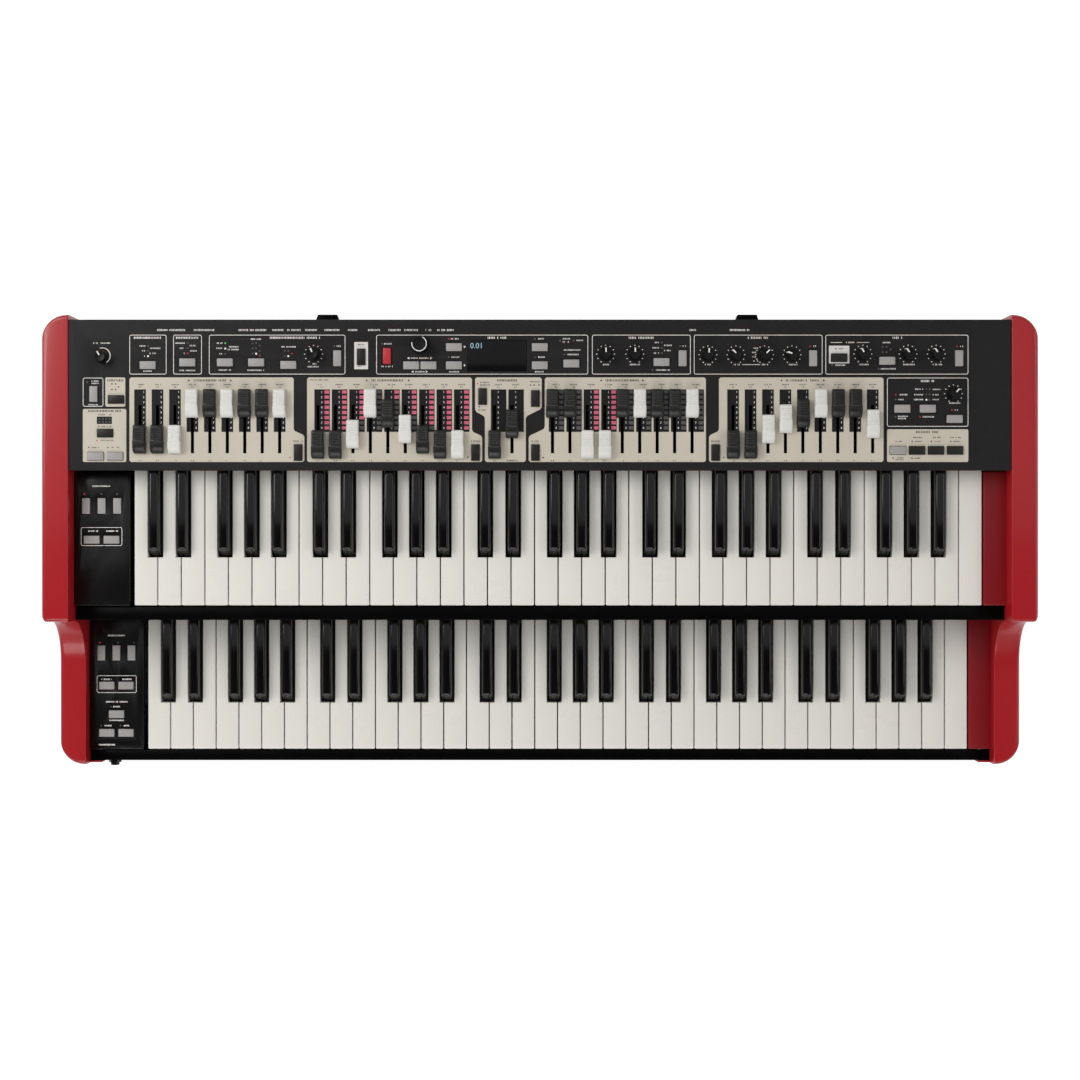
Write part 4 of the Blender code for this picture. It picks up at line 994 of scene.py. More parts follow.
@lru_cache(maxsize=None)
def row_tree() -> Grower:
    """Build the tree that fills each edge with a row of small blocks like plain lettering."""
    grower = Grower("mark_rows", {
        "Pitch": ("Float", 0.0013), "Width": ("Float", 0.0009), "Thickness": ("Float", 0.0001),
        "Gaps": ("Float", 0.1), "Seed": ("Int", 4),
    })
    given = grower.given

    def draw(low: float, high: float, step: float) -> bpy.types.NodeSocket:
        """Draw a number for each block, by a seed of its own."""
        seed = grower.math("ADD", given["Seed"], step) if step else given["Seed"]
        return grower.add("FunctionNodeRandomValue", {2: low, 3: high, "Seed": seed})[1]

    line = grower.add("GeometryNodeMeshToCurve", {"Mesh": given["Geometry"]})["Curve"]
    spaced = grower.add("GeometryNodeResampleCurve", {
        "Curve": line, "Length": given["Pitch"],
    }, mode="LENGTH")["Curve"]
    block = grower.add("GeometryNodeMeshCube", {"Size": (1.0, 1.0, 1.0)})["Mesh"]
    return grower.close({
        "Points": spaced, "Instance": block,
        "Selection": grower.math("GREATER_THAN", draw(0.0, 1.0, 2.0), given["Gaps"]),
        "Scale": grower.vector(
            X=grower.math("MULTIPLY", draw(0.7, 1.15, 0.0), given["Width"]),
            Y=grower.math("MULTIPLY", draw(0.78, 1.0, 1.0), grower.named("tall")),
            Z=given["Thickness"],
        ),
    })


@dataclass(frozen=True)
class Rhythm:
    """The rhythm of a row of marks: pitch, greatest width and the share that is left out."""

    pitch: float
    width: float
    gaps: float


def mark_rows(
    name: str, rows: Iterable[Triple], tall: float, z: float, ink: Finish, rhythm: Rhythm,
    seed: int,
) -> None:
    """Build rows of small marks like plain lettering.

    Args:
        name: The name of the piece.
        rows: Left end, right end and Y of each row.
        tall: The height of the marks along Y.
        z: The middle of their thickness.
        ink: Their finish.
        rhythm: Their rhythm.
        seed: The seed of the draws.
    """
    spots = []
    for left, right, y in rows:
        inset = min(0.5, (right - left) / 4)
        spots += [(left + inset, y, z), (right - inset, y, z)]
    edges = [(index, index + 1) for index in range(0, len(spots), 2)]
    mesh = point_mesh(spots, edges, tall=[tall * MM] * len(spots))
    values = {
        "Pitch": rhythm.pitch * MM, "Width": rhythm.width * MM, "Thickness": PRINT * MM,
        "Gaps": rhythm.gaps, "Seed": seed,
    }
    fit(row_tree().grow(name, mesh, ink, values), CASE, ink)


# The case


@dataclass
class Cheek:
    """An end cheek: a stepped side profile with a cove, rounded towards the outside."""

    name: str
    side: int
    foot: float = 6.0
    lower_top: float = 77.9
    top: float = 150.5
    cove: float = 48.0
    ahead: float = 0.9
    corner: float = 24.0
    edge: float = 3.0
    inner_edge: float = 0.8
    convex: float = 4.5
    step_corner: float = 4.0
    lip: float = 12.0
    rail_top: float = 58.0
    plan_angles: tuple[int, ...] = (0, 5, 10, 15, 20, 25, 30, 40, 50, 60, 70, 80, 90)
    inner_slices: tuple[float, ...] = (0.8, 0.5, 0.2, 0.0)

    def drop(self, distance: float, radius: float) -> float:
        """Give how far a rounded edge falls away at a distance from its side."""
        return radius - math.sqrt(radius**2 - max(radius - distance, 0.0) ** 2)

    def ring(self, x: float, inset: float, trim: float, step_trim: float) -> list[Triple]:
        """Give one slice of the cheek.

        Args:
            x: Where the slice stands.
            inset: How far its outline is drawn in.
            trim: How far the round plan corners cut its two ends.
            step_trim: How far the round plan corner of the step cuts it.

        Returns:
            The points of the slice.
        """
        front, rear = PLACE.cheek_front + trim, PLACE.cheek_rear - trim
        radius = max(self.convex - inset, 0.3)
        wall = PLACE.strip_front - self.ahead + step_trim
        centre = (wall - self.cove, self.lower_top + self.cove)
        low, high = self.lower_top - inset, self.top - inset
        points = [
            (front, self.foot + inset), *arc((front + radius, low - radius), radius, 180, 90, 5),
            *arc(centre, self.cove + inset, -90, 0, 20),
            *arc((wall + inset + radius, high - radius), radius, 180, 90, 5),
            *arc((rear - radius, high - radius), radius, 90, 0, 5), (rear, self.foot + inset),
        ]
        return [(self.side * x, y, z) for y, z in points]

    def build(self) -> None:
        """Build the cheek and what is glued to it."""
        slices = []
        for angle in self.plan_angles:
            distance = self.corner * (1 - math.cos(math.radians(angle)))
            trim = self.corner * (1 - math.sin(math.radians(angle)))
            step_trim = self.drop(distance, self.step_corner)
            slices.append((PLACE.outer - distance, self.drop(distance, self.edge), trim, step_trim))
        for distance in self.inner_slices:
            slices.append((PLACE.inner + distance, self.drop(distance, self.inner_edge), 0.0, 0.0))
        ends = sorted((self.side * (PLACE.inner - self.lip), self.side * (PLACE.inner + 1.0)))
        high = (ends[1], PLACE.rail_front - 0.3, self.rail_top)
        shape = Shape().loft([self.ring(*values) for values in slices])
        shape.box((ends[0], PLACE.cheek_front, self.foot), high, 0.6)
        shape.fit(f"{self.name}_shell", LACQUER, CASE, [self.name])

    def end_blocks(self) -> None:
        """Build the blocks that close the right ends of both manuals."""
        shape, rear = Shape(), PLACE.inner + 0.5
        for front_y, rear_y, low, high in (
            (PLACE.upper_front, PLACE.panel_front, 86.3, PLACE.upper_keys),
            (PLACE.lower_front, PLACE.upper_front, 22.3, PLACE.lower_keys),
        ):
            shape.box((PLACE.end_block, front_y, low), (rear, rear_y, high), 1.4, 3)
        # Their darker red is painted shade.
        shape.fit("right_end_blocks", SHADED_BLOCK_LACQUER)


@dataclass
class Housing:
    """The folded sheet round the works, with its screws and its feet."""

    panel_edge: float = 0.7
    panel_rim: float = 3.0
    sheet_edge: float = 0.5
    preset_edge: float = 0.6
    felt: tuple[Point, Point] = ((86.0, 131.2), (146.0, 132.0))
    foot_radius: float = 16.0
    foot_height: float = 5.7
    foot_places: tuple[tuple[str, float, float], ...] = (
        ("foot_front_left", -430.0, -192.35), ("foot_front_right", 430.0, -192.35),
        ("foot_rear_left", -430.0, 196.95), ("foot_rear_right", 430.0, 196.95),
    )
    screw_radius: float = 3.2
    screw_height: float = 1.6

    def build(self) -> None:
        """Build the sheet parts, the felt, the feet and the screws."""
        for node, width, finish in (
            ("control_panel", self.panel_edge, POWDER),
            # The darkest coat holds painted shade of the low front rail and strip.
            ("base_tray", self.sheet_edge, TRAY_COAT_AND_SHADE),
            ("rear_panel", self.panel_edge, TRAY_COAT_AND_SHADE),
            ("upper_keybed", self.sheet_edge, TRAY_COAT_AND_SHADE),
            ("lower_keybed", self.sheet_edge, BED_METAL),
            ("upper_preset_panel", self.preset_edge, CASE_PLASTIC),
            ("lower_preset_panel", self.preset_edge, CASE_PLASTIC),
        ):
            rim = self.panel_rim if node == "control_panel" else 0.0
            fit(rounded_copy(f"{node}_sheet", node, width, rim), CASE, finish, [node])
        reach = PLACE.inner + 0.4
        low, high = self.felt
        Shape().box((-reach, *low), (reach, *high), 0.2, 1).fit("dust_strip", TRAY_COAT_AND_SHADE)
        for name, x, y in self.foot_places:
            self.foot(name, x, y)
        self.screws()

    def foot(self, name: str, x: float, y: float) -> None:
        """Build one rubber foot with the hollow that its screw sits in."""
        radius, height = self.foot_radius, self.foot_height
        profile = [
            (0.0, 2.4), (4.5, 2.4), (5.2, 0.4), (6.0, 0.0), (radius - 2.4, 0.0),
            (radius - 0.9, 0.5), (radius - 0.4, 1.6), (radius, height - 0.4),
            (radius - 0.3, height), (0.0, height),
        ]
        shape = Shape().turned(profile, (x, y, 0.0), steps=40)
        shape.fit(f"{name}_rubber", RUBBER, CASE, [name])

    def screws(self) -> None:
        """Build the screws of the rear panel and of the bottom tray."""
        radius, height = self.screw_radius, self.screw_height
        dome = [
            (0.0, height - 0.9), (0.9, height - 0.9), (1.3, height), (radius - 1.2, height),
            (radius - 0.3, height * 0.55), (radius, 0.0), (0.0, 0.0),
        ]
        to_rear = Shape().turned(dome, steps=12, axis="Y")
        down = Shape().turned([(r, -h) for r, h in dome], steps=12)
        stock = Stock([to_rear.piece("screw_0"), down.piece("screw_1")])
        across, along = (-455, -300, 30, 130, 330, 455), (-440, -220, 0, 220, 440)
        rear = [(x, PLACE.panel_rear, z) for x in across for z in (15, 128)]
        under = [(x, y, 6.0) for x in along for y in (-140, 20, 165)]
        picks = [0] * len(rear) + [1] * len(under)
        fit(stock.set_out("case_screws", rear + under, NICKEL, picks), CASE, NICKEL)
        stock.clear()


# The keyboards


@dataclass
class KeyStock:
    """The eight natural shapes and the sharp, drawn from the left front top corner."""

    pitch: float = 23.5
    gap: float = 1.2
    body: float = 12.0
    lip_height: float = 20.0
    lip: float = 6.0
    head: float = 48.0
    cut: float = 15.4
    rear: float = 194.0
    front_round: float = 2.2
    corner_share: float = 0.55
    side_share: float = 0.22
    sharp_foot: float = 13.0
    sharp_top: float = 9.4
    sharp_rise: float = 10.5
    sharp_length: float = 92.6
    sharp_slope: float = 7.8
    sharp_round: float = 2.4
    tail: float = 4.5
    offsets: tuple[tuple[int, float], ...] = ((0, -2.2), (1, 2.2), (3, -3.4), (4, 0.0), (5, 3.4))

    @property
    def width(self) -> float:
        """The width of a natural."""
        return self.pitch - self.gap

    def offset(self, step: int) -> float | None:
        """Give how far the sharp after a natural stands off the line, or None for no sharp."""
        return dict(self.offsets).get(step)

    def sharp_middle(self, index: int) -> float:
        """Give the middle of the sharp after a natural, from the left end of the keys."""
        return (index + 1) * self.pitch - self.gap / 2 + (self.offset(index % 7) or 0.0)

    def natural(self, name: str, step: int, last: bool = False) -> bpy.types.Object:
        """Build one natural.

        Args:
            name: The name of the shape.
            step: Its place in the octave, from 0 for C.
            last: Whether it is the top key, with no sharp after it.

        Returns:
            The shape.
        """
        after = None if last else self.offset(step)
        before = None if step == 0 else self.offset(step - 1)
        right = self.width if after is None else self.width + self.gap / 2 + after - self.cut / 2
        left = 0.0 if before is None else before - self.gap / 2 + self.cut / 2
        width, lip, head, rear = self.width, self.lip, self.head, self.rear
        shape = Shape()
        mesh = shape.mesh
        weight = mesh.edges.layers.float.new("bevel_weight_edge")

        def corners(spots: Iterable[Point], z: float) -> list[bmesh.types.BMVert]:
            """Add corners at one height."""
            return [mesh.verts.new((x * MM, y * MM, z * MM)) for x, y in spots]

        plan = [(width, lip)]
        plan += [(width, head), (right, head)] if after is not None else []
        plan += [(right, rear), (left, rear)]
        plan += [(left, head), (0.0, head)] if before is not None else []
        plan.append((0.0, lip))
        top, under = corners(plan, 0.0), corners(plan, -self.body)
        front = ((0.0, 0.0), (width, 0.0))
        front_top, front_low = corners(front, 0.0), corners(front, -self.lip_height)
        lip_low = corners(((0.0, lip), (width, lip)), -self.lip_height)
        faces = [
            top, under[::-1], [*front_top, top[0], top[-1]], [*front_low, *front_top[::-1]],
            [front_low[1], front_low[0], lip_low[0], lip_low[1]],
            [lip_low[1], lip_low[0], under[-1], under[0]],
            [front_low[0], front_top[0], top[-1], under[-1], lip_low[0]],
            [front_low[1], lip_low[1], under[0], top[0], front_top[1]],
        ]
        for index in range(len(top) - 1):
            faces.append([top[index], under[index], under[index + 1], top[index + 1]])
        for face in faces:
            mesh.faces.new(face)
        bmesh.ops.recalc_face_normals(mesh, faces=mesh.faces)
        for edge in mesh.edges:
            edge[weight] = self.edge_share(edge)
        return round_by_weight(name, shape, self.front_round, 3)

    def edge_share(self, edge: bmesh.types.BMEdge) -> float:
        """Give how much of the front rounding an edge of a natural takes."""
        first, second = (vert.co / MM for vert in edge.verts)
        on_top = first.z == second.z == 0.0
        at_front = first.y < 0.01 and second.y < 0.01
        if on_top and at_front:
            return 1.0
        if at_front and abs(first.x - second.x) < 0.01:
            return self.corner_share
        crosses = abs(first.y - self.lip) < 0.01 and abs(second.y - self.lip) < 0.01
        return self.side_share if on_top and not crosses else 0.0

    def sharp(self, name: str) -> bpy.types.Object:
        """Build one sharp, drawn from its middle line and the naturals' front."""
        front = self.head + 0.5
        rear, slope = front + self.sharp_length, front + self.sharp_slope
        foot, top, rise, low = self.sharp_foot / 2, self.sharp_top / 2, self.sharp_rise, -self.body
        shape = Shape().loft([
            [(-foot, front, low), (foot, front, low), (foot, rear, low), (-foot, rear, low)],
            [(-top, slope, rise), (top, slope, rise), (top, rear, rise), (-top, rear, rise)],
        ])
        raised = [edge for edge in shape.mesh.edges if max(v.co.z for v in edge.verts) > 0.0]
        shape.round(raised, self.sharp_round, 4)
        near, far = (-self.tail, rear - 6.0, 0.4 + low), (self.tail, self.rear, -0.4)
        return shape.box(near, far, 0.4, 1).piece(name)

    def stock(self) -> Stock:
        """Build every natural shape, numbered 0 to 7, as a stock."""
        shapes = [self.natural(f"natural_{step}", step) for step in range(7)]
        return Stock([*shapes, self.natural("natural_7", 0, last=True)])


@dataclass(frozen=True)
class KeySet:
    """One kind of key of a manual: its shapes, its finish and the bar that joins the keys."""

    kind: str
    stock: Stock
    finish: Finish
    bar_back: float
    bar_low: float
    bar_high: float


@dataclass
class Manual:
    """One keyboard of 36 naturals and 25 sharps, with the keys that move alone."""

    name: str
    front: float
    top: float
    single_naturals: tuple[tuple[int, str], ...] = ()
    single_sharps: tuple[tuple[int, str], ...] = ()
    naturals: int = 36
    key_height: float = 12.0
    pivot: float = 190.0
    bar: float = 6.0
    stem: float = 7.5

    def comb(self, name: str, centres: Sequence[float], keys: KeySet) -> bpy.types.Object:
        """Build the stems and the cross bar that join a set of keys behind the pivot.

        Args:
            name: The name of the piece.
            centres: The middle of each key's rear end.
            keys: The set, with the place of the bar from the pivot and the keys' underside.

        Returns:
            The comb.
        """
        under = self.top - self.key_height
        low, high = under + keys.bar_low, under + keys.bar_high
        pivot, back = self.front + self.pivot, self.front + self.pivot + keys.bar_back
        shape, half = Shape(), self.stem / 2
        for x in centres:
            shape.box((x - half, pivot + 2.0, low + 0.4), (x + half, back + 2.0, high - 0.4))
        near = (min(centres) - self.stem, back, low)
        far = (max(centres) + self.stem, back + self.bar, high)
        return shape.box(near, far, 0.5).piece(name)

    def build_set(
        self, keys: KeySet, rows: dict[int, tuple[float, int]], middle: float,
        alone: dict[int, str],
    ) -> None:
        """Build the keys of one kind.

        Args:
            keys: The set.
            rows: Place across and number of the shape, for each key.
            middle: The middle of a shape from its left end.
            alone: The bodies of the keys that move alone.
        """
        kept = [row for index, row in rows.items() if index not in alone]
        name = f"{self.name}_{keys.kind}"
        comb = self.comb(f"{name}_comb", [PLACE.keys_left + x + middle for x, _ in kept], keys)
        row = self.row(f"{name}_row", kept, keys)
        fit(join(f"{name}_keys", [row, comb]), name, keys.finish, [name])
        for index, body in alone.items():
            fit(self.row(f"{body}_key", [rows[index]], keys), body, keys.finish, [body])

    def row(
        self, name: str, spots: Sequence[tuple[float, int]], keys: KeySet
    ) -> bpy.types.Object:
        """Set keys of one kind side by side, by their place across and number of shape."""
        places = [(PLACE.keys_left + x, self.front, self.top) for x, _ in spots]
        return keys.stock.set_out(name, places, keys.finish, [pick for _, pick in spots])

    def build(self, sizes: KeyStock, naturals: KeySet, sharps: KeySet) -> None:
        """Build both sets and the keys that move alone.

        Args:
            sizes: The sizes of the keys.
            naturals: The set of the naturals.
            sharps: The set of the sharps.
        """
        last = self.naturals - 1
        rows = {i: (i * sizes.pitch, 7 if i == last else i % 7) for i in range(self.naturals)}
        self.build_set(naturals, rows, sizes.width / 2, dict(self.single_naturals))
        rows = {
            i: (sizes.sharp_middle(i), 0) for i in range(last) if sizes.offset(i % 7) is not None
        }
        self.build_set(sharps, rows, 0.0, dict(self.single_sharps))


# Drawbars, knobs and buttons


class Window(Enum):
    """The black field round the rear of a slot."""

    NARROW = (-5.75, 5.75)
    WIDE = (-3.6, 11.7)
    LAMPS = (-3.6, 11.7, "lamps")


@dataclass(frozen=True)
class Section:
    """One drawbar section: its first bar from the left, and how far each bar is drawn."""

    name: str
    first: float
    steps: tuple[int, ...]
    window: Window = Window.NARROW


SECTIONS = (
    Section("upper_a", 70.8, (7, 7, 7, 0, 0, 0, 0, 0, 0)),
    Section("upper_b", 246.2, (8, 8, 6, 0, 2, 5, 7, 8, 8), Window.LAMPS),
    Section("bass", 420.2, (8, 4), Window.WIDE),
    Section("lower_a", 477.3, (0, 0, 8, 8, 0, 0, 0, 0, 0), Window.LAMPS),
    Section("lower_b", 655.3, (8, 8, 5, 3, 2, 0, 0, 0, 4)),
)
BAR_PITCH = 17.2
BAR_STEP = 5.06
BAR_REAR = 68.9


@dataclass
class Drawbars:
    """The drawbars: handles with a grooved back and a round nose, on stems and sliders."""

    white_bars: tuple[int, ...] = (3, 4, 6, 9)
    lift: float = 0.5
    stem_back: float = 18.8
    stem_rise: float = 3.7
    stem_lap: float = 2.0
    stem_width: float = 2.2
    stem_length: float = 6.0
    slider: Triple = (12.0, 18.0, 4.0)
    slider_top: float = 146.7
    link: float = 6.0
    link_height: float = 2.5
    low_link_drop: float = 5.7
    width: float = 11.9
    rise: float = 1.2 / 13.4
    groove: float = 0.45
    groove_pitch: float = 1.7
    groove_places: tuple[float, ...] = (3.0, 4.7, 6.4, 8.1, 9.8, 11.5, 13.2)
    edge: float = 1.3
    edge_turns: tuple[float, ...] = (0.4, 0.9, 1.35)
    ends: tuple[Triple, ...] = (
        (0.0, 10.6, 5.6), (0.3, 11.3, 6.7), (0.9, 11.8, 7.4), (1.8, 11.9, 7.7),
    )
    nose: tuple[Triple, ...] = (
        (15.2, 11.9, 8.9), (15.9, 11.9, 9.0), (16.3, 12.5, 8.6), (17.0, 12.7, 8.1),
        (18.6, 12.7, 8.2), (20.6, 12.7, 8.0), (22.6, 12.7, 7.4), (24.6, 12.7, 6.3),
        (26.2, 12.5, 5.0), (27.2, 12.2, 3.9), (27.7, 11.7, 3.0), (27.9, 11.2, 2.2),
    )

    def stations(self) -> list[Triple]:
        """Give distance from the rear end, width and height along a handle."""
        found = list(self.ends)
        for distance in self.groove_places:
            height = self.ends[-1][2] + self.rise * (distance - self.ends[-1][0])
            for share, drop in ((0.0, 0.0), (0.35, self.groove), (0.5, self.groove), (0.85, 0.0)):
                place = distance + self.groove_pitch * share
                found.append((place, self.width, height - drop))
        return [*found, *self.nose]

    def handle(self) -> bpy.types.Object:
        """Build one handle round the middle of its stem, from the panel's top."""
        rings = []
        for distance, width, height in self.stations():
            half, y = width / 2, self.stem_back - distance
            soft = min(self.edge, height * 0.35)
            ring = [(-half, y, self.lift), (-half, y, height - soft)]
            ring += [
                (-half + soft * (1 - math.cos(a)), y, height - soft * (1 - math.sin(a)))
                for a in self.edge_turns
            ]
            ring.append((-half * 0.35, y, height))
            rings.append(ring + [(-x, y, z) for x, _, z in reversed(ring)])
        return Shape().loft(rings).piece("handle_0", CRISP_HANDLE)

    def build(self) -> None:
        """Build every set of drawbars that slides as one."""
        stock = Stock([self.handle()])
        for section in SECTIONS:
            for step in sorted(set(section.steps), reverse=True):
                numbers = [i + 1 for i, own in enumerate(section.steps) if own == step]
                self.build_set(section, step, numbers, stock)
        stock.clear()

    def build_set(self, section: Section, step: int, numbers: list[int], stock: Stock) -> None:
        """Build the bars of one section, numbered from the left, that are drawn to one step."""
        body = f"drawbar_{section.name}_" + "_".join(str(number) for number in numbers)
        spots = {
            n: PLACE.spot(
                section.first + (n - 1) * BAR_PITCH, BAR_REAR + self.stem_back + step * BAR_STEP,
            )
            for n in numbers
        }
        self.sliders([x for x, _, _ in spots.values()], spots[numbers[0]][1]).fit(
            f"{body}_sliders", KNOB_PLASTIC, body, [body],
        )
        white = [n for n in numbers if section.name != "bass" and n in self.white_bars]
        for kind, finish, chosen in (
            ("dark", DARK_BAR, [n for n in numbers if n not in white]),
            ("white", WHITE_BAR, white),
        ):
            if chosen:
                row = stock.set_out(f"{body}_{kind}", [spots[n] for n in chosen], finish)
                fit(row, body, finish)

    def sliders(self, xs: Sequence[float], y: float) -> Shape:
        """Build stems, sliders and the link under the panel, for bars at places across."""
        shape = Shape()
        width, length, height = self.slider
        high = self.slider_top
        low = high - height
        columns = [
            (self.stem_width / 2, self.stem_length / 2, high - self.stem_lap,
             PLACE.panel_top + self.stem_rise, 0.0),
            (width / 2, length / 2, low, high, 0.5),
        ]
        if len(xs) > 1:
            beside = all(abs(b - a - BAR_PITCH) < 0.1 for a, b in zip(xs, xs[1:]))
            half = self.link / 2
            top = low + 0.3 if beside else low - self.low_link_drop
            near = (xs[0] - half, y - half, top - self.link_height)
            shape.box(near, (xs[-1] + half, y + half, top), 0.4)
            if not beside:
                columns.append((half - 0.3, half - 0.3, top - 1.2, low + 0.3, 0.0))
        for x in xs:
            for half, reach, under, over, edge in columns:
                shape.box((x - half, y - reach, under), (x + half, y + reach, over), edge)
        return shape


KNOBS = (
    ("master_level_knob", 33.5, 37.0, -30), ("drive_knob", 241.8, 34.2, -20),
    ("modulation_rate_knob", 529.7, 34.2, 0), ("modulation_amount_knob", 558.4, 34.2, 0),
    ("bass_tone_knob", 630.5, 34.8, 5), ("mid_gain_knob", 658.1, 34.8, -45),
    ("mid_frequency_knob", 686.3, 34.8, 45), ("treble_tone_knob", 713.4, 34.8, -70),
    ("delay_tempo_knob", 783.2, 34.1, -30), ("delay_feedback_knob", 827.8, 34.1, -35),
    ("delay_amount_knob", 855.6, 34.1, -35), ("reverb_amount_knob", 872.5, 73.2, 40),
)
DIAL = ("program_dial", 346.7, 25.2)


@dataclass
class Knobs:
    """The small fluted knobs with a white pointer, and the large endless dial."""

    radius: float = 6.4
    height: float = 11.0
    dial_radius: float = 9.2
    dial_height: float = 14.6
    shaft: float = 3.0
    shaft_end: float = -6.0
    pointer_half: float = 0.65
    pointer_start: float = 1.2
    pointer_proud: float = 0.04
    # The bright ring on the dial's crown is a painted highlight of its rim.
    ring_radius: float = 7.1
    ring_half: float = 0.4
    ring_sunk: float = 0.02

    def knob(
        self, name: str, centre: Triple, radius: float, height: float, flutes: int, depth: float
    ) -> None:
        """Build one knob with its shaft, and with some flutes of a depth round it."""
        crown = radius * 0.86
        profile = [
            (0.0, height - 0.35), (crown * 0.62, height - 0.3), (crown * 0.76, height),
            (crown * 0.93, height - 0.05), (crown, height - 0.6), (radius * 0.93, 3.2),
            (radius * 0.96, 2.6), (radius, 2.3), (radius, 0.7), (radius - 0.3, 0.4),
            (self.shaft, 0.4), (self.shaft, self.shaft_end), (0.0, self.shaft_end),
        ]
        shape = Shape().turned(profile, centre, flutes * 4, "Z", flutes, depth)
        shape.fit(f"{name}_body", KNOB_PLASTIC, name, [name])

    def build(self) -> None:
        """Build every knob with its pointer, and the dial with its painted highlight ring."""
        for name, across, back, angle in KNOBS:
            centre = PLACE.spot(across, back)
            self.knob(name, centre, self.radius, self.height, 16, 0.35)
            self.pointer(name, centre, angle)
        name, across, back = DIAL
        centre = PLACE.spot(across, back)
        self.knob(name, centre, self.dial_radius, self.dial_height, 30, 0.4)
        self.ring(name, centre)

    def pointer(self, name: str, centre: Triple, angle: float) -> None:
        """Build the white bar that runs over the crown and down the side of a knob.

        Args:
            name: The body of the knob.
            centre: The middle of the knob on the panel.
            angle: Where it points, in degrees clockwise from the rear.
        """
        half, proud, radius = self.pointer_half, self.height + self.pointer_proud, self.radius
        side = [
            (radius * 0.8, self.height - 0.6), (radius * 0.84, proud), (radius * 0.98, 3.2),
            (radius * 0.9, 3.0),
        ]
        shape = Shape().box(
            (-half, self.pointer_start, self.height - 0.5), (half, radius * 0.84, proud), 0.04, 1,
        )
        shape.loft([[(x, y, z) for y, z in side] for x in (-half, half)])
        shape.moved(Matrix.Translation(centre) @ Matrix.Rotation(math.radians(-angle), 4, "Z"))
        shape.fit(f"{name}_pointer", Ink.LIGHT.value, name)

    def ring(self, name: str, centre: Triple) -> None:
        """Build the bright open ring let into the dial's crown: a painted highlight of its rim."""
        outer = arc(centre[:2], self.ring_radius + self.ring_half, 62, -190, 48)
        inner = arc(centre[:2], self.ring_radius - self.ring_half, -190, 62, 48)
        top = centre[2] + self.dial_height - self.ring_sunk
        shape = Shape().plate([outer + inner], top - 0.4, top)
        shape.fit(f"{name}_ring", Ink.LIGHT.value, name)


@dataclass(frozen=True)
class Cap:
    """One button cap: its place on its panel, its direction and its finish."""

    x: float
    y: float
    along: bool
    finish: Finish = GREY_CAP

    def corners(self, length: float, width: float) -> tuple[Point, Point]:
        """Give the corners of a field round the cap, from its half length and half width."""
        x, y = (length, width) if self.along else (width, length)
        return (self.x - x, self.y - y), (self.x + x, self.y + y)


# Caps of the panel, as distances from its left and rear edges.
GREY_ALONG = (
    (78.5, 45.1), (117.5, 42.4), (154.5, 42.4), (185.3, 42.4), (217.1, 44.9), (338.1, 45.3),
    (355.1, 45.3), (380.2, 27.4), (380.2, 45.3), (464.8, 27.4), (464.8, 45.3), (495.9, 43.5),
    (584.7, 42.1), (807.1, 40.8), (822.0, 88.0), (847.1, 88.0), (873.6, 98.1), (817.7, 129.0),
    (27.1, 134.8), (46.2, 134.8),
)
GREY_UPRIGHT = ((265.2, 38.3), (605.5, 38.3), (734.1, 38.3), (878.0, 38.3), (25.0, 73.5))
DARK_ALONG = (
    (759.8, 37.7), (836.6, 129.0), (855.3, 129.0), (874.1, 129.0), (47.1, 78.8), (36.3, 112.0),
)
DARK_UPRIGHT = (
    (288.7, 36.9), (226.6, 131.2), (401.4, 131.2), (408.4, 75.9), (460.5, 131.2),
    (460.4, 77.9), (638.1, 131.2),
)
RED_UPRIGHT = ((314.2, 36.0),)
PANEL_CAPS = tuple(
    Cap(PLACE.across(x), PLACE.back(y), along, finish)
    for places, along, finish in (
        (GREY_ALONG, True, GREY_CAP), (GREY_UPRIGHT, False, GREY_CAP),
        (DARK_ALONG, True, DARK_CAP), (DARK_UPRIGHT, False, DARK_CAP),
        (RED_UPRIGHT, False, RED_CAP),
    )
    for x, y in places
)
# Caps of both preset blocks, as distances from the panel's left end and the block's front, and
# the further ones of the lower block.
PRESET_UPRIGHT = ((12.5, 99.3), (28.0, 99.3), (43.5, 99.3))
PRESET_ALONG = ((18.0, 65.6), (37.8, 65.6))
ROTOR_ALONG = ((28.0, 36.0), (18.0, 16.8), (37.8, 16.8))


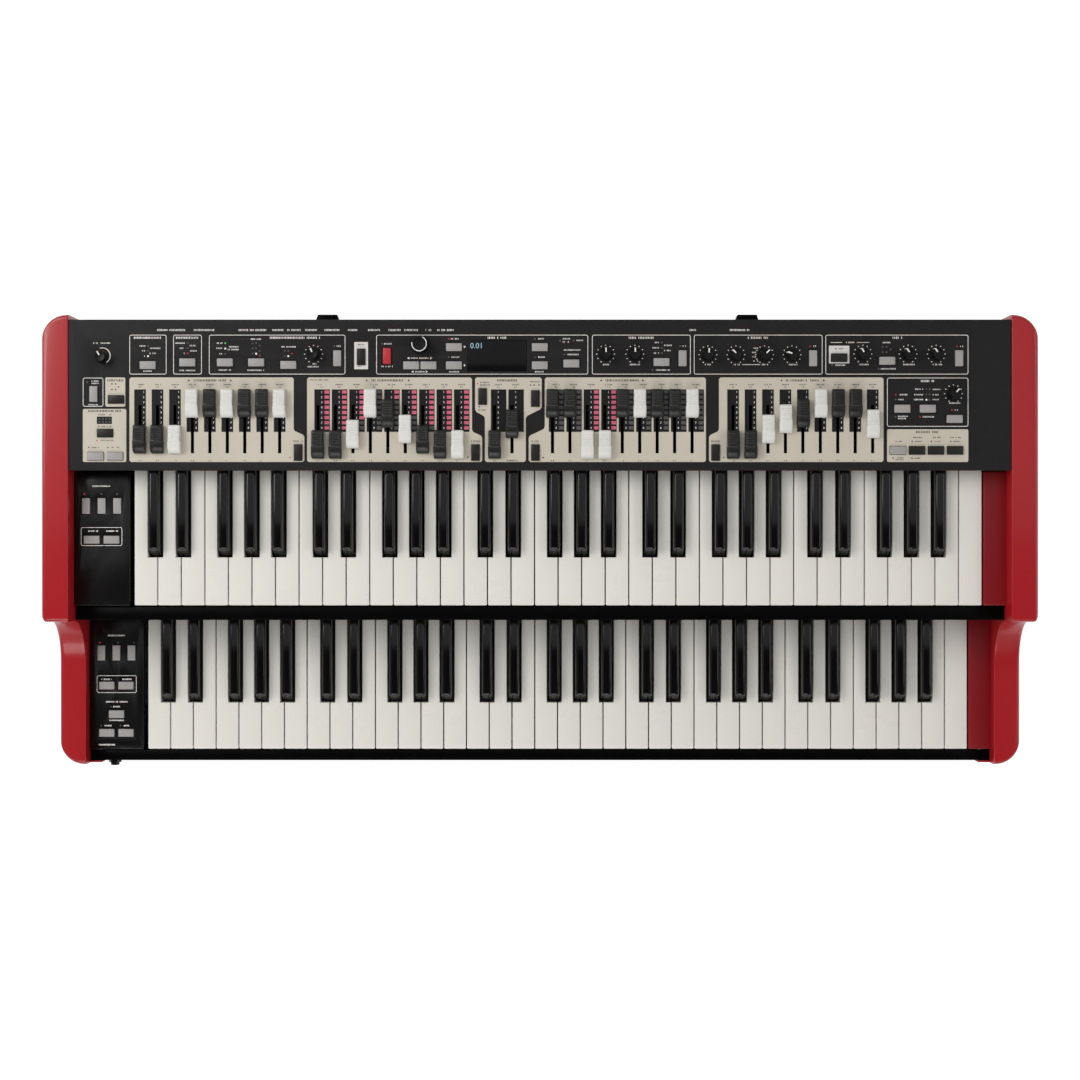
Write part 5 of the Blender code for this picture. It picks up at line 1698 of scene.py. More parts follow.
@dataclass
class Buttons:
    """Button caps that press as one set on a carrier under their panel."""

    cap: Triple = (15.7, 7.9, 2.0)
    carrier: float = 1.5
    drop: float = 5.0
    edge: float = 2.0
    row_back: float = 55.0
    row_ends: Point = (18.2, 883.0)
    tongues: tuple[Point, ...] = (
        (0.0, 60.0), (220.0, 235.0), (395.0, 415.0), (455.0, 465.0), (630.0, 645.0), (800.0, 890.0),
    )

    def cap_shape(self) -> bpy.types.Object:
        """Build one cap round its middle, from the panel's top."""
        length, width, proud = self.cap
        low = -PLACE.sheet - self.drop - self.carrier / 2
        shape = Shape().box((-length / 2, -width / 2, low), (length / 2, width / 2, proud))
        mesh = shape.mesh
        rim = [edge for edge in mesh.edges if min(vert.co.z for vert in edge.verts) > 0.0]
        sides = [edge for edge in mesh.edges if edge.verts[0].co.z * edge.verts[1].co.z < 0.0]
        shape.round(rim + sides, 0.7, 2)
        top = max(mesh.faces, key=lambda face: face.calc_center_median().z + face.calc_area())
        bmesh.ops.inset_region(mesh, faces=[top], thickness=0.7, depth=-0.12)
        return shape.piece("cap_0")

    def build_set(
        self, name: str, top: float, caps: Sequence[Cap], stock: Stock,
        strips: Sequence[tuple[Point, Point]],
    ) -> None:
        """Build one set of caps.

        Args:
            name: The body of the set.
            top: Height of the panel that the caps stand in.
            caps: The caps.
            stock: The cap shape.
            strips: Low and high corners in plan of the carrier's strips.
        """
        shape = Shape()
        high = top - PLACE.sheet - self.drop
        for low_corner, high_corner in strips:
            shape.box((*low_corner, high - self.carrier), (*high_corner, high), 0.3, 1)
        carrier = shape.piece(f"{name}_carrier")
        for finish in (GREY_CAP, DARK_CAP, RED_CAP):
            chosen = [cap for cap in caps if cap.finish is finish]
            if not chosen:
                continue
            row = stock.set_out(
                f"{name}_{finish.name}", [(cap.x, cap.y, top) for cap in chosen], finish,
                turns=[0.0 if cap.along else math.pi / 2 for cap in chosen],
            )
            if finish is GREY_CAP:
                fit(join(f"{name}_caps", [row, carrier]), name, finish, [name])
            else:
                fit(row, name, finish)

    def strip(self, caps: Sequence[Cap], edge: float) -> tuple[Point, Point]:
        """Give the plan corners of a strip that carries caps with an edge to spare."""
        fields = [cap.corners(self.cap[0] / 2, self.cap[1] / 2) for cap in caps]
        low = tuple(min(field[0][axis] for field in fields) - edge for axis in (0, 1))
        return low, tuple(max(field[1][axis] for field in fields) + edge for axis in (0, 1))

    def build(self) -> None:
        """Build the caps of the control panel and of both preset blocks."""
        stock = Stock([self.cap_shape()])
        row = [cap for cap in PANEL_CAPS if cap.y > PLACE.back(self.row_back)]
        (_, near), (_, far) = self.strip(row, self.edge)
        left, right = (PLACE.across(end) for end in self.row_ends)
        strips = [((left, near), (right, far))]
        for start, end in self.tongues:
            group = [
                cap for cap in PANEL_CAPS
                if cap not in row and start < cap.x - PLACE.across(0.0) < end
            ]
            low, high = self.strip(group, 1.0)
            strips.append((low, (high[0], near + 1.0)))
        self.build_set("panel_buttons", PLACE.panel_top, PANEL_CAPS, stock, strips)
        for block, front, top, more in (
            ("upper", PLACE.upper_front, PLACE.upper_keys, ()),
            ("lower", PLACE.lower_front, PLACE.lower_keys, ROTOR_ALONG),
        ):
            caps = [
                Cap(PLACE.across(x), front + y, along)
                for places, along in ((PRESET_UPRIGHT, False), (PRESET_ALONG + more, True))
                for x, y in places
            ]
            strip = self.strip(caps, self.edge)
            self.build_set(f"{block}_preset_buttons", top, caps, stock, [strip])
        stock.clear()


# The rear and the display


def frame_spans(outer: Point, inner: Point, lap: float = 0.0) -> list[tuple[float, ...]]:
    """Give the four walls of a square opening, seen along Y.

    Args:
        outer: Half the width and half the height over the walls.
        inner: Half the width and half the height of the opening.
        lap: How far the upper and lower walls run into the others.

    Returns:
        Left, right, underside and top of each wall.
    """
    (wide, tall), (half, open_half) = outer, inner
    reach = half + lap
    return [
        (-wide, -half, -tall, tall), (half, wide, -tall, tall),
        (-reach, reach, open_half, tall), (-reach, reach, -tall, -open_half),
    ]


@dataclass(frozen=True)
class SocketKind:
    """One kind of socket: its body, its bush, its bore and its pins."""

    body: Triple
    outer: float
    bore: float
    depth: float
    pins: int = 0
    ring: float = 0.0


SOCKET_KINDS = (
    SocketKind((14.0, 22.0, 14.0), 9.0, 6.6, 20.0),
    SocketKind((19.0, 16.0, 19.0), 16.0, 13.4, 9.0, 5, 4.6),
    SocketKind((30.0, 16.0, 30.0), 27.0, 23.0, 10.0, 11, 7.6),
)


@dataclass
class RearWorks:
    """The connector board with its sockets, the mains inlet, the rocker and the headphones."""

    jacks: tuple[float, ...] = (133.5, 182.1, 206.0, 223.0, 239.1, 259.3, 321.4, 337.6, 371.9)
    rounds: tuple[float, ...] = (280.4, 301.1)
    multi: float = 101.3
    port: float = 354.9
    inlet: float = 615.6
    proud: float = 1.5
    inlet_proud: float = 1.8
    gap: float = 0.3
    board: float = 1.6
    board_length: float = 54.0
    face: float = PLACE.panel_rear - PLACE.sheet - gap

    def build(self) -> None:
        """Build everything that the rear panel and the front rail hold."""
        self.board_piece()
        self.sockets()
        self.port_piece()
        self.inlet_piece()
        self.rocker_piece()
        self.headphones()

    def board_piece(self) -> None:
        """Build the board with a few rows of small parts on it."""
        z = PLACE.connector_z - 5.5
        left = PLACE.across(self.multi) - 21.0
        right = PLACE.across(self.jacks[-1]) + 13.0
        low = (left, self.face - self.board_length, z - self.board)
        sheet, parts = Shape().box(low, (right, self.face - self.gap, z), 0.2, 1), Shape()
        for index in range(24):
            x = left + 12.0 + index * (right - left - 24.0) / 23
            y = self.face - 34.0 - (index % 3) * 5.0
            size = 1.2 + (index % 4) * 0.8
            parts.box((x - size, y - 1.4, z), (x + size, y + 1.4, z + 1.6), 0.2, 1)
        sheet.fit("main_board_sheet", BOARD, CASE, ["main_board"])
        parts.fit("main_board_parts", CASE_PLASTIC)

    def socket_shape(self, number: int, kind: SocketKind) -> bpy.types.Object:
        """Build one kind of socket with a bush whose bore is open to the rear."""
        mouth = PLACE.sheet + self.gap + self.proud
        outer, bore, end = kind.outer / 2, kind.bore / 2, mouth - kind.depth
        shape = Shape().turned([
            (0.0, -1.0), (outer, -1.0), (outer, mouth - 0.3), (outer - 0.3, mouth),
            (bore + 0.3, mouth), (bore, mouth - 0.3), (bore, end), (0.0, end),
        ], steps=24, axis="Y")
        width, length, height = kind.body
        walls = frame_spans((width / 2, height / 2), (bore, bore))
        shape.boxes_y(walls, (0.0, 0.0, 0.0), -length, 0.0)
        for pin in range(kind.pins):
            angle = math.radians(-210 + 240 * pin / (kind.pins - 1)) + math.pi
            spot = (kind.ring * math.cos(angle), end - 0.2, kind.ring * math.sin(angle))
            shape.turned([(0.0, 3.4), (0.7, 3.2), (0.7, 0.0), (0.0, 0.0)], spot, 8, "Y")
        return shape.piece(f"socket_{number}")

    def sockets(self) -> None:
        """Set the sockets along the rear, and a nut on each jack."""
        stock = Stock([self.socket_shape(*kind) for kind in enumerate(SOCKET_KINDS)])
        places = [*self.jacks, *self.rounds, self.multi]
        spots = [(PLACE.across(x), self.face, PLACE.connector_z) for x in places]
        picks = [0] * len(self.jacks) + [1] * len(self.rounds) + [2]
        fit(stock.set_out("rear_sockets", spots, CASE_PLASTIC, picks), CASE, CASE_PLASTIC)
        stock.clear()
        stock = Stock([self.nut((0.0, 0.0, 0.0), 6.0, 4.6, 1.2).piece("nut_0")])
        spots = [(PLACE.across(x), PLACE.panel_rear, PLACE.connector_z) for x in self.jacks]
        fit(stock.set_out("jack_nuts", spots, NICKEL), CASE, NICKEL)
        stock.clear()

    @staticmethod
    def nut(centre: Triple, reach: float, hole: float, height: float) -> Shape:
        """Build a hexagon nut along Y.

        Args:
            centre: The middle of its front.
            reach: The distance of its corners from the axis.
            hole: The radius of its hole.
            height: Its height.

        Returns:
            The nut.
        """
        side, flat = math.pi / 3, reach * math.cos(math.pi / 6)
        outline = []
        for step in range(24):
            angle = math.tau * step / 24
            edge = flat / math.cos((angle % side) - side / 2)
            outline.append((centre[0] + edge * math.cos(angle), centre[2] + edge * math.sin(angle)))
        near, far = ([(x, centre[1] + y, z) for x, z in outline] for y in (0.0, height))
        inside = [ring_y(centre, hole, y, 24) for y in (height, 0.0)]
        return Shape().loft([near, far, *inside], endless=True)

    def port_piece(self) -> None:
        """Build the computer port: a bright shell with a tongue inside."""
        centre = PLACE.spot(self.port, 0.0, PLACE.connector_z)
        near, mouth = self.face - 16.0, PLACE.panel_rear + self.proud
        shape = Shape().boxes_y(frame_spans((6.1, 5.5), (4.5, 4.0), 0.1), centre, near, mouth, 0.2)
        shape.boxes_y([(-4.6, 4.6, -4.2, 4.2)], centre, near, mouth - 10.0)
        shape.fit("computer_port", NICKEL)
        tongue = Shape().boxes_y([(-2.9, 2.9, -1.6, 1.6)], centre, mouth - 10.2, mouth - 1.6, 0.3)
        tongue.fit("port_tongue", CASE_PLASTIC)

    def inlet_piece(self) -> None:
        """Build the mains inlet with its three pins."""
        centre = PLACE.spot(self.inlet, 0.0, PLACE.connector_z)
        flange, rear = PLACE.panel_rear + self.gap, PLACE.panel_rear + self.inlet_proud
        outer = frame_spans((17.0, 13.5), (12.2, 8.3), 0.2)
        walls = [
            (-13.8, -12.1, -10.0, 10.0), (12.1, 13.8, -10.0, 10.0), (-12.3, 12.3, 8.2, 10.0),
            (-12.3, 12.3, -10.0, -8.2),
        ]
        shape = Shape().boxes_y(outer[:2], centre, flange, rear, 0.24)
        shape.boxes_y(outer[2:], centre, flange, rear)
        shape.boxes_y(walls, centre, rear - 20.0, rear - 0.6)
        shape.boxes_y([(-12.3, 12.3, -8.4, 8.4)], centre, rear - 20.0, rear - 16.0)
        shape.fit("inlet_shell", CASE_PLASTIC, CASE, ["power_inlet"])
        pins = [(x - 1.0, x + 1.0, z - 2.0, z + 2.0) for x, z in ((-7, -2), (0, 2), (7, -2))]
        Shape().boxes_y(pins, centre, rear - 16.2, rear - 3.0, 0.3).fit("inlet_pins", NICKEL)

    def rocker_piece(self) -> None:
        """Build the rocker from the frame's own shape, with a line and a ring on its two ends."""
        body = "power_rocker"
        fit(rounded_copy(f"{body}_cap", body, 0.5), body, CASE_PLASTIC, [body])
        low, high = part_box("power_rocker")
        middle = (low.x + high.x) / 2 / MM
        turn = Matrix.Rotation(math.radians(7.0), 4, "X")
        axis = Matrix.Translation((middle, PLACE.panel_rear - PLACE.sheet / 2, PLACE.connector_z))
        slope = math.atan2(1.4, 8.5)
        whole = Shape()
        for side in (-1, 1):
            mark = Shape()
            if side > 0:
                mark.box((-0.35, -0.1, -1.6), (0.35, 0.08, 1.6))
            else:
                mark.loft([
                    ring_y((0.0, 0.0, 0.0), radius, y, 20)
                    for radius, y in ((1.7, -0.1), (1.7, 0.08), (1.1, 0.08), (1.1, -0.1))
                ], endless=True)
            place = Matrix.Translation((0.0, 3.33, side * 4.4))
            mark.moved(axis @ turn @ place @ Matrix.Rotation(-side * slope, 4, "X"))
            held = mark.data("mark")
            whole.mesh.from_mesh(held)
            bpy.data.meshes.remove(held)
        whole.fit(f"{body}_marks", Ink.LIGHT.value, body)

    def headphones(self) -> None:
        """Build the headphone socket at the left of the front rail, with its nut."""
        centre = (PLACE.across(20.4), 0.0, 35.0)
        inner, mouth = PLACE.rail_front + PLACE.sheet + self.gap, -PLACE.bumper_tip
        rim, bore = 4.5, 3.3
        rings = [ring_y(centre, radius, y, 28) for radius, y in (
            (rim, inner + 1.0), (rim, mouth + 0.4), (rim - 0.4, mouth), (bore + 0.3, mouth),
            (bore, mouth + 0.3), (bore, mouth + 20.0), (bore + 0.6, mouth + 20.0),
            (bore + 0.6, inner + 1.0),
        )]
        shape = Shape().loft(rings, endless=True)
        shape.boxes_y(frame_spans((7.0, 7.0), (4.0, 4.0), 0.1), centre, inner, inner + 22.0)
        shape.fit("headphone_bush", CASE_PLASTIC, CASE, ["headphone_jack"])
        front = (centre[0], PLACE.rail_front - 4.5, centre[2])
        self.nut(front, 6.7, 4.55, 4.2).fit("headphone_nut", CASE_PLASTIC)


@dataclass
class Display:
    """The display window with its lit number."""

    width: float = 58.1
    length: float = 30.6
    across: float = 393.6
    back: float = 20.3
    sink: float = 0.4

    def build(self) -> None:
        """Build the window pane and the number behind it."""
        x, y, z = PLACE.spot(self.across, self.back, PLACE.panel_top - self.sink)
        low, high = (x, y - self.length, z - PLACE.sheet), (x + self.width, y, z)
        Shape().box(low, high, 0.3).fit("display_pane", WINDOW, CASE, ["display_window"])
        number = Shape().text("0.01", 5.6, 0.05, 3)
        number.moved(Matrix.Translation((x + 2.4, y - 8.0, z)))
        number.fit("display_number", Ink.BLUE.value)


# The printed panels

# Outlined boxes on the bare panel: left, right, and distances back of their two edges.
PANEL_FRAMES = (
    (-404.7, -368.2, 15.1, 54.1), (-361.5, -333.4, 15.1, 54.1), (-326.3, -191.9, 15.1, 54.1),
    (-161.4, 47.4, 15.1, 54.1), (51.3, 148.5, 15.1, 54.1), (151.7, 278.4, 15.1, 54.1),
    (281.4, 422.2, 15.1, 54.1), (342.1, 422.2, 57.4, 105.6), (-450.6, -430.5, 57.4, 85.9),
)
# Rows of marks: left end, right end, distance back.
LIGHT_TITLES = (
    (-400.3, -373.6, 18.0), (-358.8, -337.0, 18.0), (-266.4, -216.9, 18.0),
    (-51.7, -33.4, 18.0), (87.3, 112.0, 18.0), (204.9, 224.6, 18.0), (345.7, 356.9, 18.0),
    (375.3, 388.4, 60.6),
)
REAR_LABELS_BACK = 10.4
REAR_LABELS = (
    (-377.4, -349.8), (-341.4, -321.2), (-297.1, -282.2), (-280.5, -269.7), (-264.2, -253.0),
    (-249.3, -235.9), (-231.6, -219.8), (-213.8, -197.8), (-189.3, -180.0), (-169.5, -157.8),
    (-149.5, -137.4), (-134.0, -120.4), (-113.1, -107.1), (-101.4, -85.1), (147.2, 153.8),
    (186.9, 206.3),
)
LIGHT_LABELS = (
    (-440.3, -422.5, 23.3), (-394.7, -389.1, 26.1), (-384.4, -374.2, 28.3),
    (-392.2, -389.4, 30.9), (-384.8, -378.4, 33.4), (-392.6, -389.4, 36.1),
    (-391.0, -382.6, 50.9), (-359.8, -350.2, 23.3), (-345.3, -339.7, 25.8),
    (-355.2, -350.2, 28.3), (-345.0, -338.4, 30.9), (-353.5, -350.2, 33.4),
    (-355.5, -339.8, 50.2), (-319.7, -312.9, 23.3), (-319.0, -313.4, 28.3),
    (-307.9, -297.1, 26.9), (-307.9, -297.1, 29.6), (-316.1, -313.4, 33.8),
    (-316.8, -304.5, 49.8), (-285.2, -274.9, 19.4), (-288.4, -272.1, 50.0),
    (-254.9, -240.8, 26.9), (-227.0, -220.4, 43.7), (-229.1, -218.2, 46.5),
    (-200.5, -196.5, 26.2), (-153.8, -145.0, 24.0), (-156.3, -145.0, 46.3),
    (-127.4, -109.9, 38.1), (-123.2, -113.9, 51.5), (-88.0, -80.2, 19.0), (-87.3, -79.5, 37.1),
    (-89.7, -79.8, 51.5), (-1.9, 4.9, 19.0), (-1.9, 4.9, 37.1), (-4.9, 3.8, 51.5),
    (22.3, 29.6, 19.0), (22.3, 29.6, 22.0), (35.9, 42.3, 20.6), (22.3, 39.8, 30.1),
    (27.2, 38.0, 34.5), (62.0, 68.0, 44.4), (88.4, 98.6, 44.4), (113.1, 117.2, 22.7),
    (110.8, 117.2, 27.9), (110.8, 117.2, 33.1), (122.2, 130.0, 25.5), (122.2, 128.8, 30.6),
    (114.0, 128.1, 49.8), (140.6, 143.9, 26.2), (162.6, 169.5, 44.4), (190.8, 197.1, 44.4),
    (218.7, 224.8, 44.4), (245.3, 253.9, 44.4), (210.5, 214.9, 28.2), (209.0, 212.9, 32.4),
    (209.0, 212.9, 36.7), (210.5, 214.9, 40.9), (269.4, 272.2, 26.2), (301.6, 309.8, 22.6),
    (291.2, 300.9, 45.0), (315.0, 323.9, 44.4), (357.9, 369.2, 44.4), (387.0, 396.4, 44.4),
    (337.7, 345.4, 22.7), (335.8, 350.6, 48.6), (414.0, 417.1, 26.5), (353.2, 362.1, 74.1),
    (353.2, 359.8, 78.9), (369.6, 377.6, 68.7), (368.7, 377.6, 74.1), (368.3, 377.6, 78.9),
    (387.0, 394.7, 68.9), (387.0, 392.9, 74.1), (387.0, 393.2, 78.9), (352.8, 362.6, 95.5),
    (352.9, 360.8, 97.6), (377.1, 388.4, 95.9), (403.4, 414.3, 82.4), (408.7, 411.9, 89.2),
    (-442.2, -435.1, 60.7), (-442.2, -435.1, 62.9), (-445.2, -435.8, 84.0),
)
DARK_TITLES = (
    (-426.4, -410.7, 60.0), (-445.6, -413.0, 90.2), (-341.4, -309.8, 60.0),
    (-166.2, -135.0, 60.0), (64.5, 97.2, 60.0), (242.2, 274.9, 60.0), (-42.5, -21.4, 60.0),
    (370.6, 392.4, 111.0),
)
DARK_LABELS = (
    (-435.8, -422.5, 93.8), (-435.8, -422.5, 105.3), (-434.4, -420.8, 119.2),
    (-442.2, -434.7, 126.1), (-423.5, -415.0, 126.1), (-226.7, -208.7, 59.6),
    (-59.1, -49.0, 62.0), (-59.1, -49.0, 64.5), (-61.2, -52.3, 89.2), (-10.2, -0.3, 61.3),
    (-243.6, -234.0, 119.9), (-68.0, -58.8, 119.9), (-9.2, 0.0, 119.9), (168.6, 177.7, 119.9),
    (367.6, 376.9, 116.3), (387.0, 395.0, 116.3), (403.4, 415.7, 116.3), (353.5, 356.9, 120.2),
    (369.6, 375.9, 120.2), (389.1, 394.6, 120.2), (407.2, 414.3, 120.2), (350.6, 358.4, 136.3),
    (350.6, 358.4, 138.2), (369.0, 374.6, 136.7), (-33.5, -21.7, 139.1), (294.3, 298.8, 28.9),
    (-179.5, -173.2, 24.8), (-179.5, -173.2, 46.1),
)
# Small lamps and dots: place across and distance back.
DIM_LAMPS = (
    (-386.4, 26.1), (-386.4, 30.9), (-347.4, 23.3), (-347.4, 28.3), (-283.3, 23.3),
    (-279.8, 23.3), (-276.3, 25.8), (-283.3, 28.3), (-279.8, 28.3), (-276.3, 30.9),
    (-283.3, 33.4), (-310.2, 33.8), (-251.7, 30.9), (-248.1, 30.9), (-251.7, 36.1),
    (-202.8, 26.2), (-155.7, 24.0), (-90.1, 37.1), (-5.0, 19.0), (-5.0, 37.1), (19.7, 20.9),
    (33.4, 20.6), (24.0, 34.5), (120.0, 22.7), (120.0, 27.9), (120.0, 33.1), (111.0, 49.8),
    (138.3, 26.2), (287.9, 45.0), (337.7, 26.9), (341.6, 26.9), (345.6, 29.5), (337.7, 32.1),
    (341.6, 32.1), (333.8, 48.6), (350.6, 78.9), (350.6, 95.9), (380.9, 68.7), (380.9, 73.8),
    (384.0, 68.7), (384.0, 73.8), (384.0, 79.1), (-446.4, 61.7),
)
WHITE_LAMPS = ((-386.4, 36.1), (-310.2, 28.6), (-279.8, 33.7), (-248.1, 36.1), (380.9, 79.1))
RED_LAMPS = (
    (-347.4, 33.4), (-244.6, 33.5), (-90.1, 19.0), (266.1, 26.5), (410.9, 26.5), (350.6, 74.1),
    (374.6, 95.9), (406.0, 89.2), (-276.3, 35.7),
)
GREEN_LAMPS = ((-310.2, 23.3),)
RED_DOTS = ((-436.6, 119.2), (-61.5, 63.2), (-246.4, 136.0), (350.9, 120.2))
PLATE_DOTS = (
    (-444.9, 126.1), (-425.9, 126.1), (-71.1, 136.0), (3.1, 136.0), (181.0, 136.0), (366.8, 120.2),
    (385.8, 120.2), (404.8, 120.2), (-59.8, 86.1), (-9.2, 64.6), (-5.8, 64.6), (-1.0, 64.6),
    (348.0, 136.7), (366.6, 136.7), (-421.9, 63.5), (-421.9, 69.0), (-418.3, 63.5),
    (-418.3, 69.0), (-415.4, 66.4), (291.5, 28.9),
)
WINDOW_LAMPS = tuple((x, v) for v in (97.9, 100.9) for x in (-434.2, -430.9, -427.6, -424.3))
# Arrow heads: place across, distance back and the side they point to.
DARK_ARROWS = (
    (-346.4, 60.0, -1), (-304.5, 60.0, 1), (-171.1, 60.0, -1), (-129.2, 60.0, 1),
    (60.1, 60.0, -1), (101.6, 60.0, 1), (237.9, 60.0, -1), (279.9, 60.0, 1),
)
LIGHT_ARROWS = (
    (-74.2, 26.9, 1), (-74.2, 45.2, 1),
    (-129.7, 38.1, -1), (-107.4, 38.1, 1), (-125.6, 51.5, -1), (-111.7, 51.5, 1),
)
# Thin rules on the bare panel: left, right, and the distances back of their edges.
LIGHT_RULES = (
    (199.2, 216.9, 44.2, 44.7), (286.5, 297.8, 22.4, 22.9), (312.4, 324.6, 22.4, 22.9),
    (-303.8, -303.2, 19.1, 23.0), (-303.8, -286.8, 19.1, 19.7),
)
# Fields of the panel: left, right, and distances back of their two edges.
ROUND_FIELDS = (
    (-428.5, -408.8, 57.1, 85.9), (-450.6, -407.8, 88.1, 140.45), (342.1, 422.2, 108.2, 140.45),
)
PALE_FIELDS = ((-183.1, -169.5, 22.2, 49.0), (284.8, 304.9, 25.8, 43.2))
LAMP_WINDOW = (-436.8, -422.0, 95.7, 103.0)
# Cream fields with cut corners: place across and distance back of each corner.
CUT_FIELDS = (
    ((-404.7, 57.1), (-404.7, 140.45), (-232.3, 140.45), (-232.3, 114.0), (-242.8, 109.6),
     (-242.8, 57.1)),
    ((-229.6, 57.1), (-229.6, 140.45), (-57.0, 140.45), (-57.0, 114.9), (-67.0, 110.4),
     (-67.0, 57.1)),
    ((-64.0, 57.1), (-64.0, 90.4), (-54.3, 95.7), (-54.3, 140.45), (-14.0, 140.45),
     (-14.0, 95.7), (1.7, 87.8), (1.7, 57.1)),
    ((4.7, 57.1), (4.7, 107.5), (-11.1, 114.9), (-11.1, 140.45), (163.5, 140.45), (163.5, 57.1)),
    ((176.4, 57.1), (176.4, 109.8), (166.6, 114.3), (166.6, 140.45), (338.6, 140.45),
     (338.6, 57.1)),
)
BARS = tuple(
    (section, step, PLACE.across(section.first + index * BAR_PITCH))
    for section in SECTIONS for index, step in enumerate(section.steps)
)


def field(left: float, right: float, rear: float, front: float) -> tuple[Point, Point]:
    """Give the corners of a field from its sides and its edges' distances back."""
    return (left, PLACE.back(front)), (right, PLACE.back(rear))


def band(low: Point, high: Point, radius: float, line: float) -> list[list[Point]]:
    """Give the two outlines of a line of some width round a rectangle with round corners."""
    inner = (low[0] + line, low[1] + line), (high[0] - line, high[1] - line)
    return [rounded(low, high, radius), rounded(*inner, radius - line)]


def cut_field(corners: Sequence[Point], cut: float) -> list[Point]:
    """Give the outline of a field whose corners are cut, from places across and back."""
    spots = [Vector((x, PLACE.back(back))) for x, back in corners]
    outline = []
    for index, spot in enumerate(spots):
        for other in (spots[index - 1], spots[(index + 1) % len(spots)]):
            away = other - spot
            outline.append(tuple(spot + away.normalized() * min(cut, away.length / 3)))
    return outline


def square_lamps(
    name: str, spots: Iterable[Point], half: float, low: float, high: float, ink: Finish
) -> None:
    """Build small square lamps round spots in plan, with half a size and two heights."""
    shape = Shape()
    for x, y in spots:
        shape.box((x - half, y - half, low), (x + half, y + half, high), 0.05, 1)
    shape.fit(name, ink)


